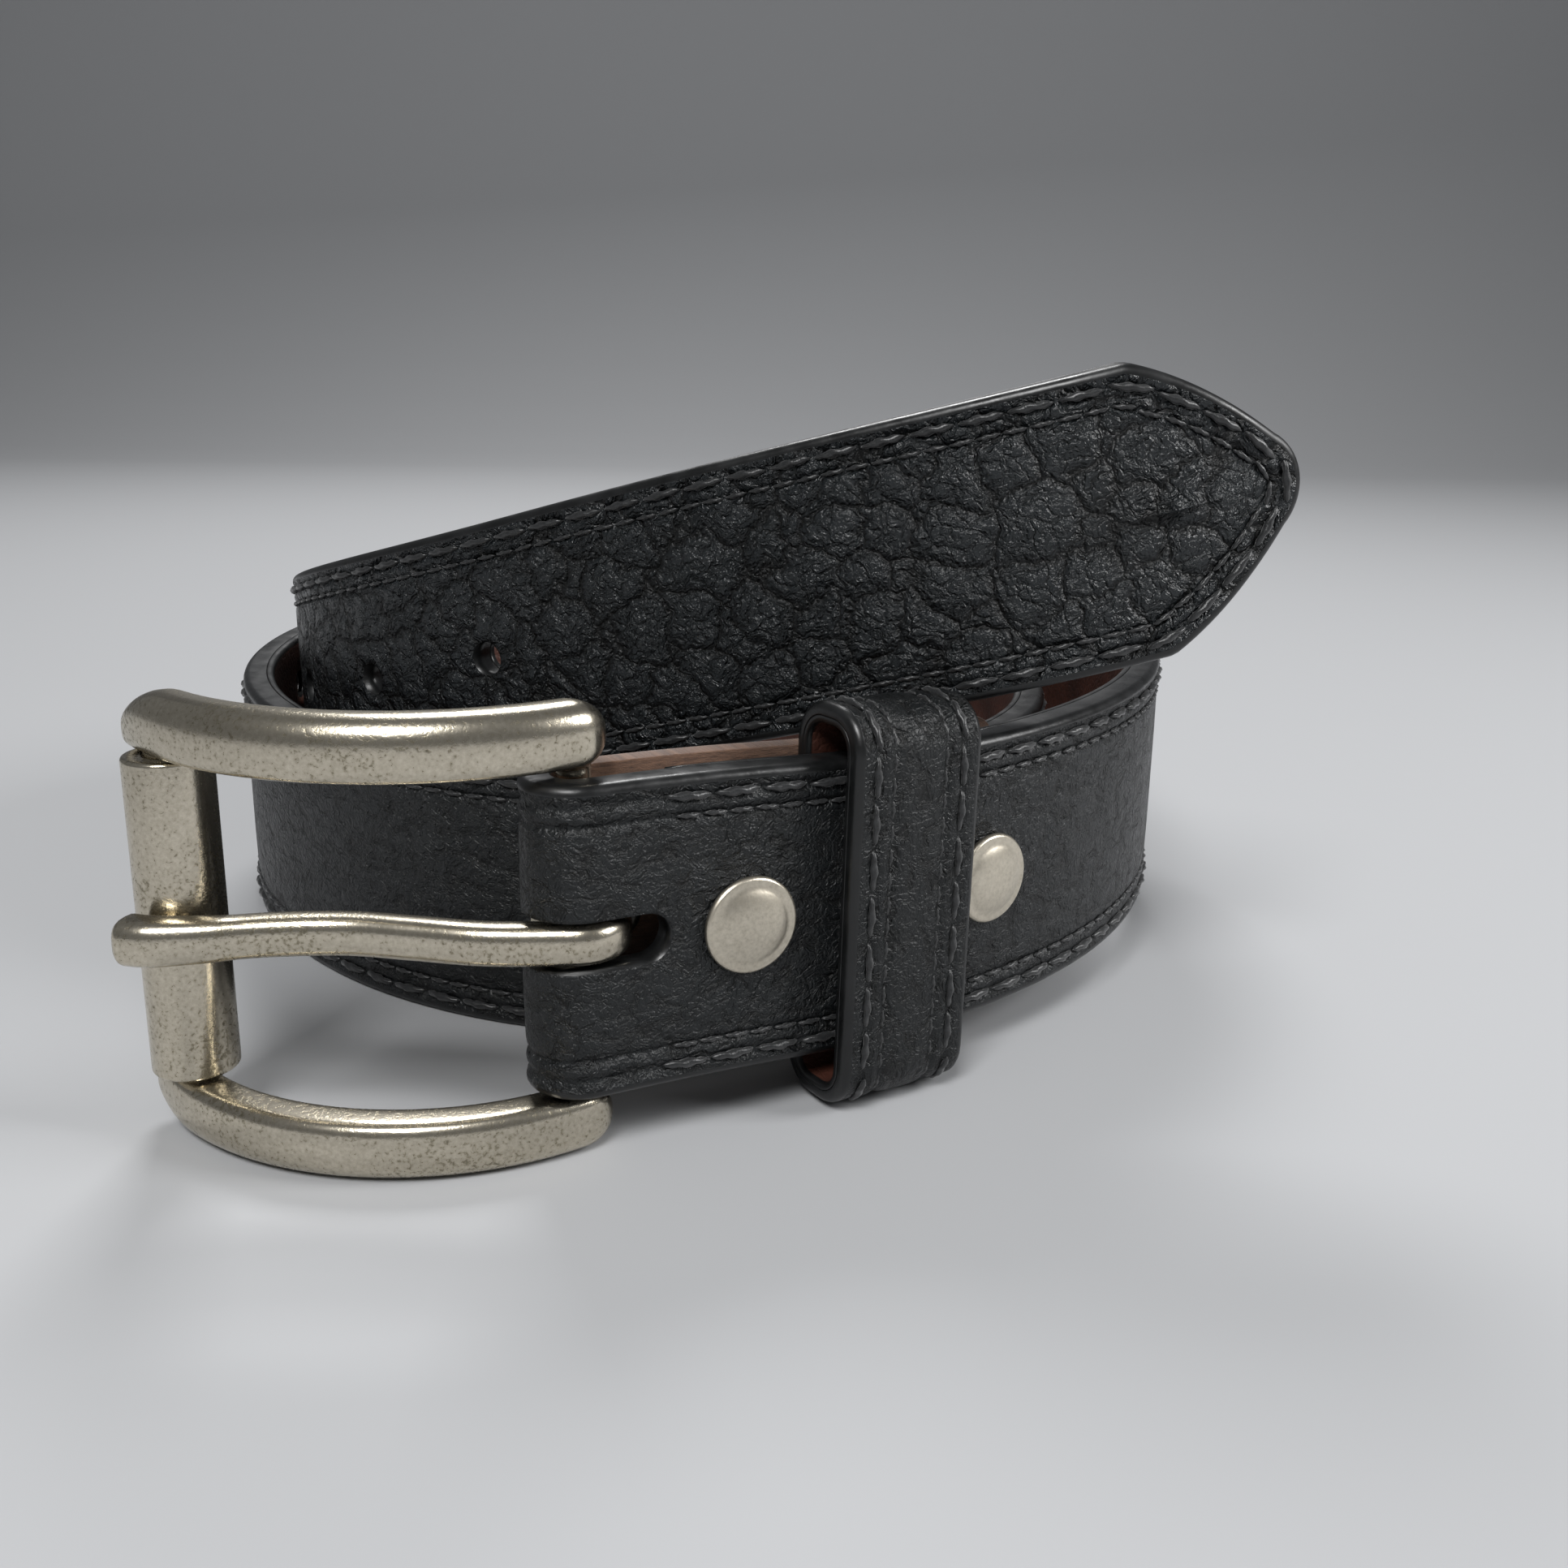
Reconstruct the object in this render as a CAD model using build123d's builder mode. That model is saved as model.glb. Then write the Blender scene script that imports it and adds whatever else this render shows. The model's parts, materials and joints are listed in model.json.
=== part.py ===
"""Leather dress belt with a roller buckle, standing on its edge in a loose coil.

Millimetres, +Z up, resting on Z = 0.  The strap is described along its own
length: a station is the distance from the start of the path, and across it run
three directions: along (towards the tail), up (towards the upper edge) and out
(away from the grain face).
"""

import os
from math import acos, atan2, cos, hypot, pi, radians, sin, sqrt

from build123d import *

# ---------------------------------------------------------------- strap sizes
STRAP_WIDTH = 38.0
STRAP_LENGTH = 1006.5
TOP_THICK = 3.8
LINING_THICK = 1.2
TIP_LENGTH = 20.5
NOSE_RADIUS = 7.5
FLAP_LENGTH = 68.0
FLAP_CORNER = 6.0
HOLE_DIAMETER = 5.0
HOLE_PITCH = 25.4
HOLE_COUNT = 5
FIRST_HOLE_FROM_NOSE = 118.0
SLOT_WIDTH = 6.2
SLOT_REACH = 9.2
LINING_SETBACK = 1.0
CUT_MARGIN = 1.0
SECTION_STEP = 8.0

# ---------------------------------------------------------------- seams
THREAD_PROUD = 0.25
OUTER_ROW_INSET = 2.5
OUTER_ROW_WIDTH = 1.0
INNER_ROW_INSET = 4.9
INNER_ROW_WIDTH = 0.6

# ---------------------------------------------------------------- buckle sizes
HEEL_BAR_RADIUS = 2.0
FOLD_PLAY = 0.6
BAR_HEIGHT = 7.6
BAR_DEPTH = 5.5
BAR_FLAT_SHARE = 0.35
LOWER_GAP = 0.4
UPPER_GAP = 1.2
BAR_ARC_RADIUS = 32.1
BAR_ARC_RISE = 7.9
BAR_ARC_MIDDLE = 23.0
BAR_NOSE = 3.0
BAR_BACK = 3.2
END_OVERHANG = 4.4
OUTER_CORNER = 6.3
NOSE_CORNER = 3.0
ROLLER_DISTANCE = 46.87
ROLLER_RADIUS = 5.1
AXLE_RADIUS = 2.6
AXLE_CLEARANCE = 0.1
AXLE_SEAT = 4.6
ROLLER_END_GAP = 0.3
PRONG_WIDTH = 5.0
PRONG_THICK = 4.4
PRONG_CLEARANCE = 0.1
PRONG_REST_GAP = 0.3
PRONG_TIP_OVERHANG = 5.8
PRONG_LIP = 0.1
PRONG_DIP = 1.1
PRONG_TIP_FALL = 0.3
PRONG_END_SLOPE = -0.12
# (share of the way to the roller, distance above the loop's crest)
PRONG_CURVE = ((0.2, 0.3), (0.38, -PRONG_DIP), (0.55, 0.4 - PRONG_DIP), (0.74, 1.6))
PRONG_TOUCH_SHARE = 0.6
PRONG_TOUCH_FALL = 0.2

# ---------------------------------------------------------------- keeper sizes
KEEPER_STATION = 43.8
KEEPER_LENGTH = 19.0
KEEPER_LEATHER = 1.7
KEEPER_LINING = 1.0
KEEPER_EDGE_SPACE = 3.9
KEEPER_FRONT_SPACE = 2.1
KEEPER_REAR_SPACE = 0.75
KEEPER_CORNER = 5.5
KEEPER_LIFT = 0.3
KEEPER_OUTER_ROW = 3.0
KEEPER_INNER_ROW = 5.6
STAPLE_WIRE = 0.6
STAPLE_BED = 0.3
STAPLE_LENGTH = 9.0

# ---------------------------------------------------------------- press fasteners
SNAP_STATIONS = {"front": 23.4, "rear": 60.5}
LAYER_GAP = 4.0
CAP_RADIUS = 6.1
CAP_HEIGHT = 2.0
CAP_RIM = 0.48
# (share of the cap's radius, share of its height)
CAP_DOME = ((0.45, 0.92), (0.8, 0.68))
POST_RADIUS = 1.8
SNAP_FIT = 0.05
SOCKET_RADIUS = 5.4
SOCKET_BORE = 3.9
SOCKET_FLOOR = 0.6
SOCKET_DEPTH = 3.0
POST_HEAD_RADIUS = 2.6
POST_HEAD = 0.35
STUD_BASE = 0.45
STUD_BASE_RADIUS = 5.0
STUD_NECK_RADIUS = 2.65
STUD_KNOB_RADIUS = 3.1
STUD_KNOB = 0.65
STUD_HEIGHT = 2.75
STUD_CHAMFER = 0.3
STUD_ROOF = 0.3
SPRING_RADIUS = 3.8
SPRING_INNER = 2.8
SPRING_THICK = 0.6
EYELET_RADIUS = 4.7
EYELET_FLANGE = 0.6
EYELET_POST = 1.4
EYELET_POST_GAP = 0.3

# ---------------------------------------------------------------- strap path
START_X = -10.306
START_Y = -91.447
START_HEADING = 29.1
FOLD_STATION = 4.2
BUCKLE_HEADING = 176.9
# (station, turn to the left in degrees for each 10 mm)
BEND = (
    (0, -0.9), (40, 2.6), (80, 6.2), (150, 6.9), (230, 6.4), (310, 8.4), (380, 7.8), (450, 6.4),
    (510, 9.5), (580, 9.0), (660, 7.0), (740, 9.4), (800, 11.6), (850, 8.3), (910, 0.9), (1010, 7.7),
)
# (station, upward slope in degrees)
CLIMB = (
    (0, 0.0), (8, 0.0), (30, -3.2), (60, 0.9), (120, 0.5), (200, -0.8), (300, -2.4), (400, -1.73),
    (460, 0.0), (620, 0.0), (680, 1.2), (760, 5.4), (840, 12.1), (900, 15.7), (960, 14.2), (1010, 14.2),
)
# The slopes up to TAIL_START take the strap down by DROP_DRAWN, from its height in
# the buckle to the level turn; those after it lift a tail of WIDTH_DRAWN over the keeper.
TAIL_START = 620
DROP_DRAWN = 8.0
WIDTH_DRAWN = 38.0
# (station, outward lean of the upper edge in degrees)
LEAN = ((600, 0.0), (1010, 1.5))

# ---------------------------------------------------------------- worked out
strap_thick = TOP_THICK + LINING_THICK
half_width = STRAP_WIDTH / 2
start_height = BAR_HEIGHT + LOWER_GAP + half_width
fold_inner = HEEL_BAR_RADIUS + FOLD_PLAY
fold_outer = fold_inner + TOP_THICK
flap_inner = -(TOP_THICK + 2 * fold_inner)
flap_outer = flap_inner - TOP_THICK
flap_end = FOLD_STATION + FLAP_LENGTH
lining_start = FOLD_STATION + SLOT_REACH + LINING_SETBACK
frame_height = 2 * BAR_HEIGHT + LOWER_GAP + STRAP_WIDTH + UPPER_GAP
window_top = frame_height - BAR_HEIGHT
hole_stations = [STRAP_LENGTH - FIRST_HOLE_FROM_NOSE - HOLE_PITCH * i for i in range(HOLE_COUNT)]


def between(table, station):
    """Value of a (station, value) table, straight between its rows."""
    if station <= table[0][0]:
        return table[0][1]
    for (low, first), (high, second) in zip(table, table[1:]):
        if station <= high:
            return first + (second - first) * (station - low) / (high - low)
    return table[-1][1]


def slope_at(station):
    """Upward slope of the strap in radians, to suit the buckle's bars and the strap's width."""
    if station > TAIL_START:
        suited = STRAP_WIDTH / WIDTH_DRAWN
    else:
        suited = (BAR_HEIGHT + LOWER_GAP) / DROP_DRAWN
    return radians(between(CLIMB, station)) * suited


def trace_path():
    """Mid-width line of the grain face, one point and heading for each millimetre."""
    x, y, z, heading = START_X, START_Y, start_height, START_HEADING
    points = [(x, y, z, heading)]
    for step in range(int(STRAP_LENGTH) + 2):
        middle = step + 0.5
        turn = between(BEND, middle) / 10
        slope = slope_at(middle)
        course = radians(heading + turn / 2)
        x += cos(course) * cos(slope)
        y += sin(course) * cos(slope)
        z += sin(slope)
        heading += turn
        points.append((x, y, z, heading))
    return points


PATH = trace_path()


def strap_frame(station):
    """Point on the grain face at mid-width, with the along, up and out directions."""
    index = int(station)
    share = station - index
    x, y, z, heading = (a + (b - a) * share for a, b in zip(PATH[index], PATH[index + 1]))
    course = radians(heading)
    slope = slope_at(station)
    lean = radians(between(LEAN, station))
    along = Vector(cos(course) * cos(slope), sin(course) * cos(slope), sin(slope))
    upright = Vector(-cos(course) * sin(slope), -sin(course) * sin(slope), cos(slope))
    outward = along.cross(upright)
    up = upright * cos(lean) + outward * sin(lean)
    out = outward * cos(lean) - upright * sin(lean)
    return Vector(x, y, z), along, up, out


def cross_plane(station):
    """Plane across the strap: local X is up, local Y is out."""
    point, along, up, out = strap_frame(station)
    return Plane(origin=point, x_dir=up, z_dir=along)


def face_plane(station, height=0.0):
    """Plane on the grain face: local X is along, local Z is out."""
    point, along, up, out = strap_frame(station)
    return Plane(origin=point + out * height, x_dir=along, z_dir=out)


def tip_half_width(station):
    """Half-width of the strap, narrowing to a round nose at the tail."""
    distance = STRAP_LENGTH - station
    if distance >= TIP_LENGTH:
        return half_width
    reach = hypot(TIP_LENGTH - NOSE_RADIUS, half_width)
    angle = atan2(half_width, TIP_LENGTH - NOSE_RADIUS) + acos(NOSE_RADIUS / reach)
    tangent_at = NOSE_RADIUS * (1 + cos(angle))
    tangent_width = NOSE_RADIUS * sin(angle)
    if distance > tangent_at:
        share = (distance - tangent_at) / (TIP_LENGTH - tangent_at)
        return tangent_width + (half_width - tangent_width) * share
    return sqrt(max(NOSE_RADIUS**2 - (NOSE_RADIUS - distance) ** 2, 0.0))


def flap_half_width(station):
    """Half-width of the turned-back flap, with rounded corners at its end."""
    past = station - (flap_end - FLAP_CORNER)
    if past <= 0:
        return half_width
    return half_width - FLAP_CORNER + sqrt(max(FLAP_CORNER**2 - past**2, 0.0))


tip_start = STRAP_LENGTH - TIP_LENGTH
tip_stations = [STRAP_LENGTH - back for back in (16.0, 12.0, 8.0, 5.0, 3.0, 1.6, 0.7, 0.15)]
grid_count = round((tip_start - FOLD_STATION) / SECTION_STEP)
grid = [FOLD_STATION + (tip_start - FOLD_STATION) * i / grid_count for i in range(grid_count + 1)]
grid = sorted(grid + tip_stations + [lining_start])
flap_turns = [flap_end - FLAP_CORNER + FLAP_CORNER * sin(pi / 12 * i) for i in range(6)]


def stations_from(first, last):
    """The section stations from first to last."""
    inner = [station for station in grid if first + 0.01 < station < last - 0.01]
    return [first] + inner + [last]


def band(stations, low, high, edges):
    """Sections of a strip between two heights off the grain face, ready for a loft.

    edges(station) gives the strip's lower and upper edge across the width.
    """
    sections = []
    for station in stations:
        lower, upper = edges(station)
        with BuildSketch(cross_plane(station)) as section:
            with Locations(((lower + upper) / 2, (low + high) / 2)):
                Rectangle(upper - lower, high - low)
        sections.append(section.sketch)
    return sections


def full_width(station):
    return -tip_half_width(station), tip_half_width(station)


def flap_width(station):
    return -flap_half_width(station), flap_half_width(station)


# ---------------------------------------------------------------- strap
heel_point, heel_along, heel_up, heel_out = strap_frame(FOLD_STATION)
heel_axis = heel_point - heel_out * fold_outer

with BuildPart() as strap_top_leather:
    front_stations = stations_from(FOLD_STATION, tip_stations[-1])
    loft(band(front_stations, -TOP_THICK, 0.0, full_width), ruled=True)
    flap_stations = [station for station in grid if station < flap_turns[0]] + flap_turns
    loft(band(flap_stations, flap_outer, flap_inner, flap_width), ruled=True)
    with BuildSketch(Plane(origin=heel_axis, x_dir=heel_along, z_dir=heel_up)):
        Circle(fold_outer)
        Circle(fold_inner, mode=Mode.SUBTRACT)
        with Locations((fold_outer, 0)):
            Rectangle(2 * fold_outer, 2 * fold_outer, mode=Mode.SUBTRACT)
    extrude(amount=half_width, both=True)
    with BuildSketch(Plane(origin=heel_axis, x_dir=heel_along, z_dir=heel_out)):
        with Locations((SLOT_REACH - SLOT_WIDTH / 2, 0)):
            Circle(SLOT_WIDTH / 2)
        with Locations((SLOT_REACH - SLOT_WIDTH / 2, 0)):
            Rectangle(2 * fold_outer + SLOT_REACH, SLOT_WIDTH, align=(Align.MAX, Align.CENTER))
    extrude(amount=fold_outer + CUT_MARGIN, both=True, mode=Mode.SUBTRACT)
    for station in hole_stations:
        with Locations(face_plane(station, CUT_MARGIN).location):
            Hole(HOLE_DIAMETER / 2, depth=TOP_THICK + 2 * CUT_MARGIN)
    for station in SNAP_STATIONS.values():
        with Locations(face_plane(station, CUT_MARGIN).location):
            Hole(POST_RADIUS + SNAP_FIT, depth=2 * CUT_MARGIN - flap_outer)
strap_top_leather.part.label = "strap_top_leather"

with BuildPart() as strap_lining:
    lining_stations = stations_from(lining_start, tip_stations[-1])
    loft(band(lining_stations, -strap_thick, -TOP_THICK, full_width), ruled=True)
    for station in hole_stations:
        with Locations(face_plane(station, CUT_MARGIN).location):
            Hole(HOLE_DIAMETER / 2, depth=strap_thick + 2 * CUT_MARGIN)
    for station in SNAP_STATIONS.values():
        with Locations(face_plane(station, CUT_MARGIN).location):
            Hole(POST_RADIUS + SNAP_FIT, depth=strap_thick + 2 * CUT_MARGIN)
strap_lining.part.label = "strap_lining"


def seam_rows(inset, width, stations):
    """Thread rows along both edges, following the tail's point."""
    for side in (-1, 1):
        def row(station):
            middle = side * max(tip_half_width(station) - inset, width)
            return middle - width / 2, middle + width / 2

        loft(band(stations, 0.0, THREAD_PROUD, row), ruled=True)


with BuildPart() as outer_seam_thread:
    seam_rows(OUTER_ROW_INSET, OUTER_ROW_WIDTH, stations_from(lining_start, tip_stations[3]))
outer_seam_thread.part.label = "outer_seam_thread"

with BuildPart() as inner_seam_thread:
    seam_rows(INNER_ROW_INSET, INNER_ROW_WIDTH, stations_from(lining_start, tip_stations[2]))
inner_seam_thread.part.label = "inner_seam_thread"


# ---------------------------------------------------------------- press fasteners
def turned(plane, outline):
    """Solid of revolution about the plane's Z from (radius, height) corners."""
    profile = Plane(origin=plane.origin, x_dir=plane.x_dir, z_dir=-plane.y_dir)
    with BuildSketch(profile) as section:
        with BuildLine():
            Polyline(*outline, close=True)
        make_face()
    revolve(section.sketch, axis=Axis(plane.origin, plane.z_dir))


def snap_pieces(name, station):
    """Cap, socket, ring spring, stud and eyelet of one press fastener."""
    plane = face_plane(station)
    floor = -strap_thick - SOCKET_FLOOR
    mouth = -strap_thick - SOCKET_DEPTH
    stud_top = flap_inner + STUD_HEIGHT
    knob_low = stud_top - STUD_KNOB
    hollow_top = knob_low - STUD_ROOF
    post_top = hollow_top - EYELET_POST_GAP
    with BuildPart() as cap:
        turned(plane, [
            (0, CAP_HEIGHT), *[(CAP_RADIUS * across, CAP_HEIGHT * rise) for across, rise in CAP_DOME],
            (CAP_RADIUS, CAP_RIM), (CAP_RADIUS, 0), (POST_RADIUS, 0), (POST_RADIUS, floor),
            (POST_HEAD_RADIUS, floor), (POST_HEAD_RADIUS, floor - POST_HEAD), (0, floor - POST_HEAD),
        ])
    with BuildPart() as socket:
        turned(plane, [
            (POST_RADIUS + SNAP_FIT, -strap_thick), (SOCKET_RADIUS, -strap_thick), (SOCKET_RADIUS, mouth),
            (SOCKET_BORE, mouth), (SOCKET_BORE, floor), (POST_RADIUS + SNAP_FIT, floor),
        ])
    with BuildPart() as spring:
        turned(plane, [
            (SPRING_INNER, knob_low - SNAP_FIT), (SPRING_RADIUS, knob_low - SNAP_FIT),
            (SPRING_RADIUS, knob_low - SNAP_FIT - SPRING_THICK),
            (SPRING_INNER, knob_low - SNAP_FIT - SPRING_THICK),
        ])
    with BuildPart() as stud:
        turned(plane, [
            (0, stud_top), (STUD_KNOB_RADIUS - STUD_CHAMFER, stud_top),
            (STUD_KNOB_RADIUS, stud_top - STUD_CHAMFER),
            (STUD_KNOB_RADIUS, knob_low), (STUD_NECK_RADIUS, knob_low),
            (STUD_NECK_RADIUS, flap_inner + STUD_BASE), (STUD_BASE_RADIUS, flap_inner + STUD_BASE),
            (STUD_BASE_RADIUS, flap_inner), (EYELET_POST + SNAP_FIT, flap_inner),
            (EYELET_POST + SNAP_FIT, hollow_top), (0, hollow_top),
        ])
    with BuildPart() as eyelet:
        turned(plane, [
            (0, flap_outer - EYELET_FLANGE), (EYELET_RADIUS, flap_outer - EYELET_FLANGE),
            (EYELET_RADIUS, flap_outer), (EYELET_POST, flap_outer), (EYELET_POST, post_top), (0, post_top),
        ])
    pieces = {"cap": cap, "socket": socket, "spring": spring, "stud": stud, "eyelet": eyelet}
    for role, piece in pieces.items():
        piece.part.label = f"{name}_snap_{role}"
    return [piece.part for piece in pieces.values()]


snap_parts = []
for snap_name, snap_station in SNAP_STATIONS.items():
    snap_parts += snap_pieces(snap_name, snap_station)

# ---------------------------------------------------------------- keeper
keeper_thick = KEEPER_LEATHER + KEEPER_LINING
keeper_point, keeper_along, keeper_up, keeper_out = strap_frame(KEEPER_STATION)
keeper_front = KEEPER_FRONT_SPACE + keeper_thick
keeper_rear = -strap_thick - KEEPER_REAR_SPACE - keeper_thick
keeper_depth = keeper_front - keeper_rear
keeper_height = STRAP_WIDTH + 2 * KEEPER_EDGE_SPACE + 2 * keeper_thick
keeper_centre = keeper_point + keeper_up * KEEPER_LIFT + keeper_out * (keeper_front + keeper_rear) / 2
keeper_plane = Plane(origin=keeper_centre, x_dir=keeper_up, z_dir=keeper_along)


def loop_wall(outside, thickness):
    """Closed loop outline, starting a given distance outside the keeper's outer face."""
    inside = outside - thickness
    RectangleRounded(keeper_height + 2 * outside, keeper_depth + 2 * outside, KEEPER_CORNER + outside)
    RectangleRounded(
        keeper_height + 2 * inside, keeper_depth + 2 * inside, KEEPER_CORNER + inside, mode=Mode.SUBTRACT
    )


with BuildPart() as keeper_leather:
    with BuildSketch(keeper_plane):
        loop_wall(0.0, KEEPER_LEATHER)
    extrude(amount=KEEPER_LENGTH / 2, both=True)
keeper_leather.part.label = "keeper_leather"

with BuildPart() as keeper_lining:
    with BuildSketch(keeper_plane):
        loop_wall(-KEEPER_LEATHER, KEEPER_LINING)
    extrude(amount=KEEPER_LENGTH / 2, both=True)
keeper_lining.part.label = "keeper_lining"


def keeper_rows(inset, width):
    """Two thread rings round the keeper, one near each end."""
    for side in (-1, 1):
        offset = side * (KEEPER_LENGTH / 2 - inset)
        with BuildSketch(keeper_plane.offset(offset)) as ring:
            loop_wall(THREAD_PROUD, THREAD_PROUD)
        extrude(ring.sketch, amount=width / 2, both=True)


with BuildPart() as keeper_outer_seams:
    keeper_rows(KEEPER_OUTER_ROW, OUTER_ROW_WIDTH)
keeper_outer_seams.part.label = "keeper_outer_seams"

with BuildPart() as keeper_inner_seams:
    keeper_rows(KEEPER_INNER_ROW, INNER_ROW_WIDTH)
keeper_inner_seams.part.label = "keeper_inner_seams"

with BuildPart() as keeper_staple:
    staple_out = keeper_plane.y_dir * (-keeper_depth / 2 + keeper_thick + STAPLE_WIRE / 2 - STAPLE_BED)
    with BuildSketch(Plane(origin=keeper_centre + staple_out, x_dir=keeper_up, z_dir=keeper_out)):
        Rectangle(STAPLE_LENGTH, STAPLE_WIRE)
    extrude(amount=STAPLE_WIRE / 2, both=True)
keeper_staple.part.label = "keeper_staple"

# ---------------------------------------------------------------- buckle
buckle_axis = Vector(heel_axis.X, heel_axis.Y, 0)
reach_dir = Vector(cos(radians(BUCKLE_HEADING)), sin(radians(BUCKLE_HEADING)), 0)
buckle_plane = Plane(origin=buckle_axis, x_dir=reach_dir, z_dir=(0, 0, 1))
front_dir = buckle_plane.y_dir
bar_centre = (BAR_ARC_MIDDLE, BAR_ARC_RISE - BAR_ARC_RADIUS)
bar_far_end = ROLLER_DISTANCE + END_OVERHANG
bar_flat = BAR_DEPTH * BAR_FLAT_SHARE
prong_axis_height = start_height


def side_bar(bottom, outer_side):
    """One arched bar: flat back, rounded front, outer far corner rounded in side view."""
    level = buckle_plane.offset(bottom)
    turning_axis = level.from_local_coords(Vector(*bar_centre, BAR_HEIGHT / 2))
    front_limit = BAR_ARC_RISE + 2 * BAR_DEPTH
    with BuildPart() as bar:
        with BuildSketch(Plane(origin=turning_axis, x_dir=reach_dir, z_dir=-front_dir)):
            with Locations((BAR_ARC_RADIUS, 0)):
                Rectangle(bar_flat, BAR_HEIGHT, align=(Align.MIN, Align.CENTER))
            with Locations((BAR_ARC_RADIUS + bar_flat, 0)):
                Ellipse(BAR_DEPTH - bar_flat, BAR_HEIGHT / 2)
        revolve(axis=Axis(turning_axis, (0, 0, 1)))
        side_view = Plane(origin=level.origin + front_dir * front_limit, x_dir=reach_dir, z_dir=-front_dir)
        with BuildSketch(side_view):
            with Locations(((bar_far_end - BAR_NOSE) / 2, BAR_HEIGHT / 2)):
                Rectangle(bar_far_end + BAR_NOSE, BAR_HEIGHT)
            fillet(vertices().group_by(Axis.X)[0], NOSE_CORNER)
            fillet(vertices().group_by(Axis.X)[-1].sort_by(Axis.Y)[outer_side], OUTER_CORNER)
        extrude(amount=front_limit + BAR_BACK, mode=Mode.INTERSECT)
    return bar.part


lower_bar = side_bar(0.0, 0)
upper_bar = side_bar(window_top, -1)
roller_spot = (ROLLER_DISTANCE, 0)

with BuildPart() as buckle_frame:
    add(lower_bar)
    add(upper_bar)
    with BuildSketch(buckle_plane.offset(BAR_HEIGHT / 2)):
        Circle(HEEL_BAR_RADIUS)
    extrude(amount=frame_height - BAR_HEIGHT)
    with BuildSketch(buckle_plane.offset(BAR_HEIGHT - AXLE_SEAT)):
        with Locations(roller_spot):
            Circle(AXLE_RADIUS)
    extrude(amount=window_top - BAR_HEIGHT + 2 * AXLE_SEAT, mode=Mode.SUBTRACT)
buckle_frame.part.label = "buckle_frame"

with BuildPart() as roller_axle:
    with BuildSketch(buckle_plane.offset(BAR_HEIGHT - AXLE_SEAT)):
        with Locations(roller_spot):
            Circle(AXLE_RADIUS)
    extrude(amount=window_top - BAR_HEIGHT + 2 * AXLE_SEAT)
roller_axle.part.label = "roller_axle"

with BuildPart() as roller:
    with BuildSketch(buckle_plane.offset(BAR_HEIGHT + ROLLER_END_GAP)):
        with Locations(roller_spot):
            Circle(ROLLER_RADIUS)
            Circle(AXLE_RADIUS + AXLE_CLEARANCE, mode=Mode.SUBTRACT)
    extrude(amount=window_top - BAR_HEIGHT - 2 * ROLLER_END_GAP)
roller.part.label = "roller"

prong_bore = HEEL_BAR_RADIUS + PRONG_CLEARANCE
prong_loop = prong_bore + PRONG_THICK / 2
prong_crest = ROLLER_RADIUS + PRONG_REST_GAP + PRONG_THICK / 2 + PRONG_LIP
with BuildPart() as prong:
    with BuildSketch(buckle_plane.offset(prong_axis_height - PRONG_WIDTH / 2)):
        with BuildLine():
            Spline(
                (0, prong_loop),
                *[(ROLLER_DISTANCE * share, prong_loop + rise) for share, rise in PRONG_CURVE],
                (ROLLER_DISTANCE - ROLLER_RADIUS * PRONG_TOUCH_SHARE, prong_crest - PRONG_TOUCH_FALL),
                (ROLLER_DISTANCE + PRONG_TIP_OVERHANG, prong_crest - PRONG_TIP_FALL),
                tangents=((1, 0), (1, PRONG_END_SLOPE)),
            )
        trace(line_width=PRONG_THICK)
        Circle(prong_bore + PRONG_THICK)
        Circle(prong_bore, mode=Mode.SUBTRACT)
        with Locations(roller_spot):
            Circle(ROLLER_RADIUS + PRONG_REST_GAP, mode=Mode.SUBTRACT)
    extrude(amount=PRONG_WIDTH)
prong.part.label = "prong"

# ---------------------------------------------------------------- files
os.makedirs("parts", exist_ok=True)
pieces = [
    builder.part
    for builder in (
        strap_top_leather, strap_lining, outer_seam_thread, inner_seam_thread, keeper_leather,
        keeper_lining, keeper_outer_seams, keeper_inner_seams, keeper_staple, buckle_frame,
        roller_axle, roller, prong,
    )
]
for piece in pieces + snap_parts:
    export_step(piece, f"parts/{piece.label}.step")
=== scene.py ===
"""Leather dress belt: the looks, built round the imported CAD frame, laid out as an add-on."""

import json
import math

import bmesh
import bpy
from mathutils import Matrix, Vector


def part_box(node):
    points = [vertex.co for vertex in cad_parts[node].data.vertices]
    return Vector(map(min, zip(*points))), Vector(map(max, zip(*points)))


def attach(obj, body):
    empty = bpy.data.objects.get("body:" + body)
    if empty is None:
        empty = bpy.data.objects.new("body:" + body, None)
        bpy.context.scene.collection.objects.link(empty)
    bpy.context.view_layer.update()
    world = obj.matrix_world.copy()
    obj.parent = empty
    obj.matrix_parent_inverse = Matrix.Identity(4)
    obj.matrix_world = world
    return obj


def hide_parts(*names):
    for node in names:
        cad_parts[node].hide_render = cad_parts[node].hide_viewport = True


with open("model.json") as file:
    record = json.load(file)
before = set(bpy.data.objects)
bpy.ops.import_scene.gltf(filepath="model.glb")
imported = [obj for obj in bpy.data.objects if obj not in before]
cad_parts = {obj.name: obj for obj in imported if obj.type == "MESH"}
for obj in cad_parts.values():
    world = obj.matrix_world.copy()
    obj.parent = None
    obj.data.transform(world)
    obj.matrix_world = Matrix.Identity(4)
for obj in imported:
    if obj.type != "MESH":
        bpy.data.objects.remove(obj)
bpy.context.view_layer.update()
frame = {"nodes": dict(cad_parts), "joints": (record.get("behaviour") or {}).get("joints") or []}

bl_info = {
    "name": "Leather belt builder",
    "version": (1, 0, 0),
    "blender": (4, 5, 0),
    "location": "View3D > Sidebar > Belt",
    "description": "Builds a coiled leather belt with a roller buckle round its CAD frame",
    "category": "Object",
}

MM = 0.001

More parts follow.
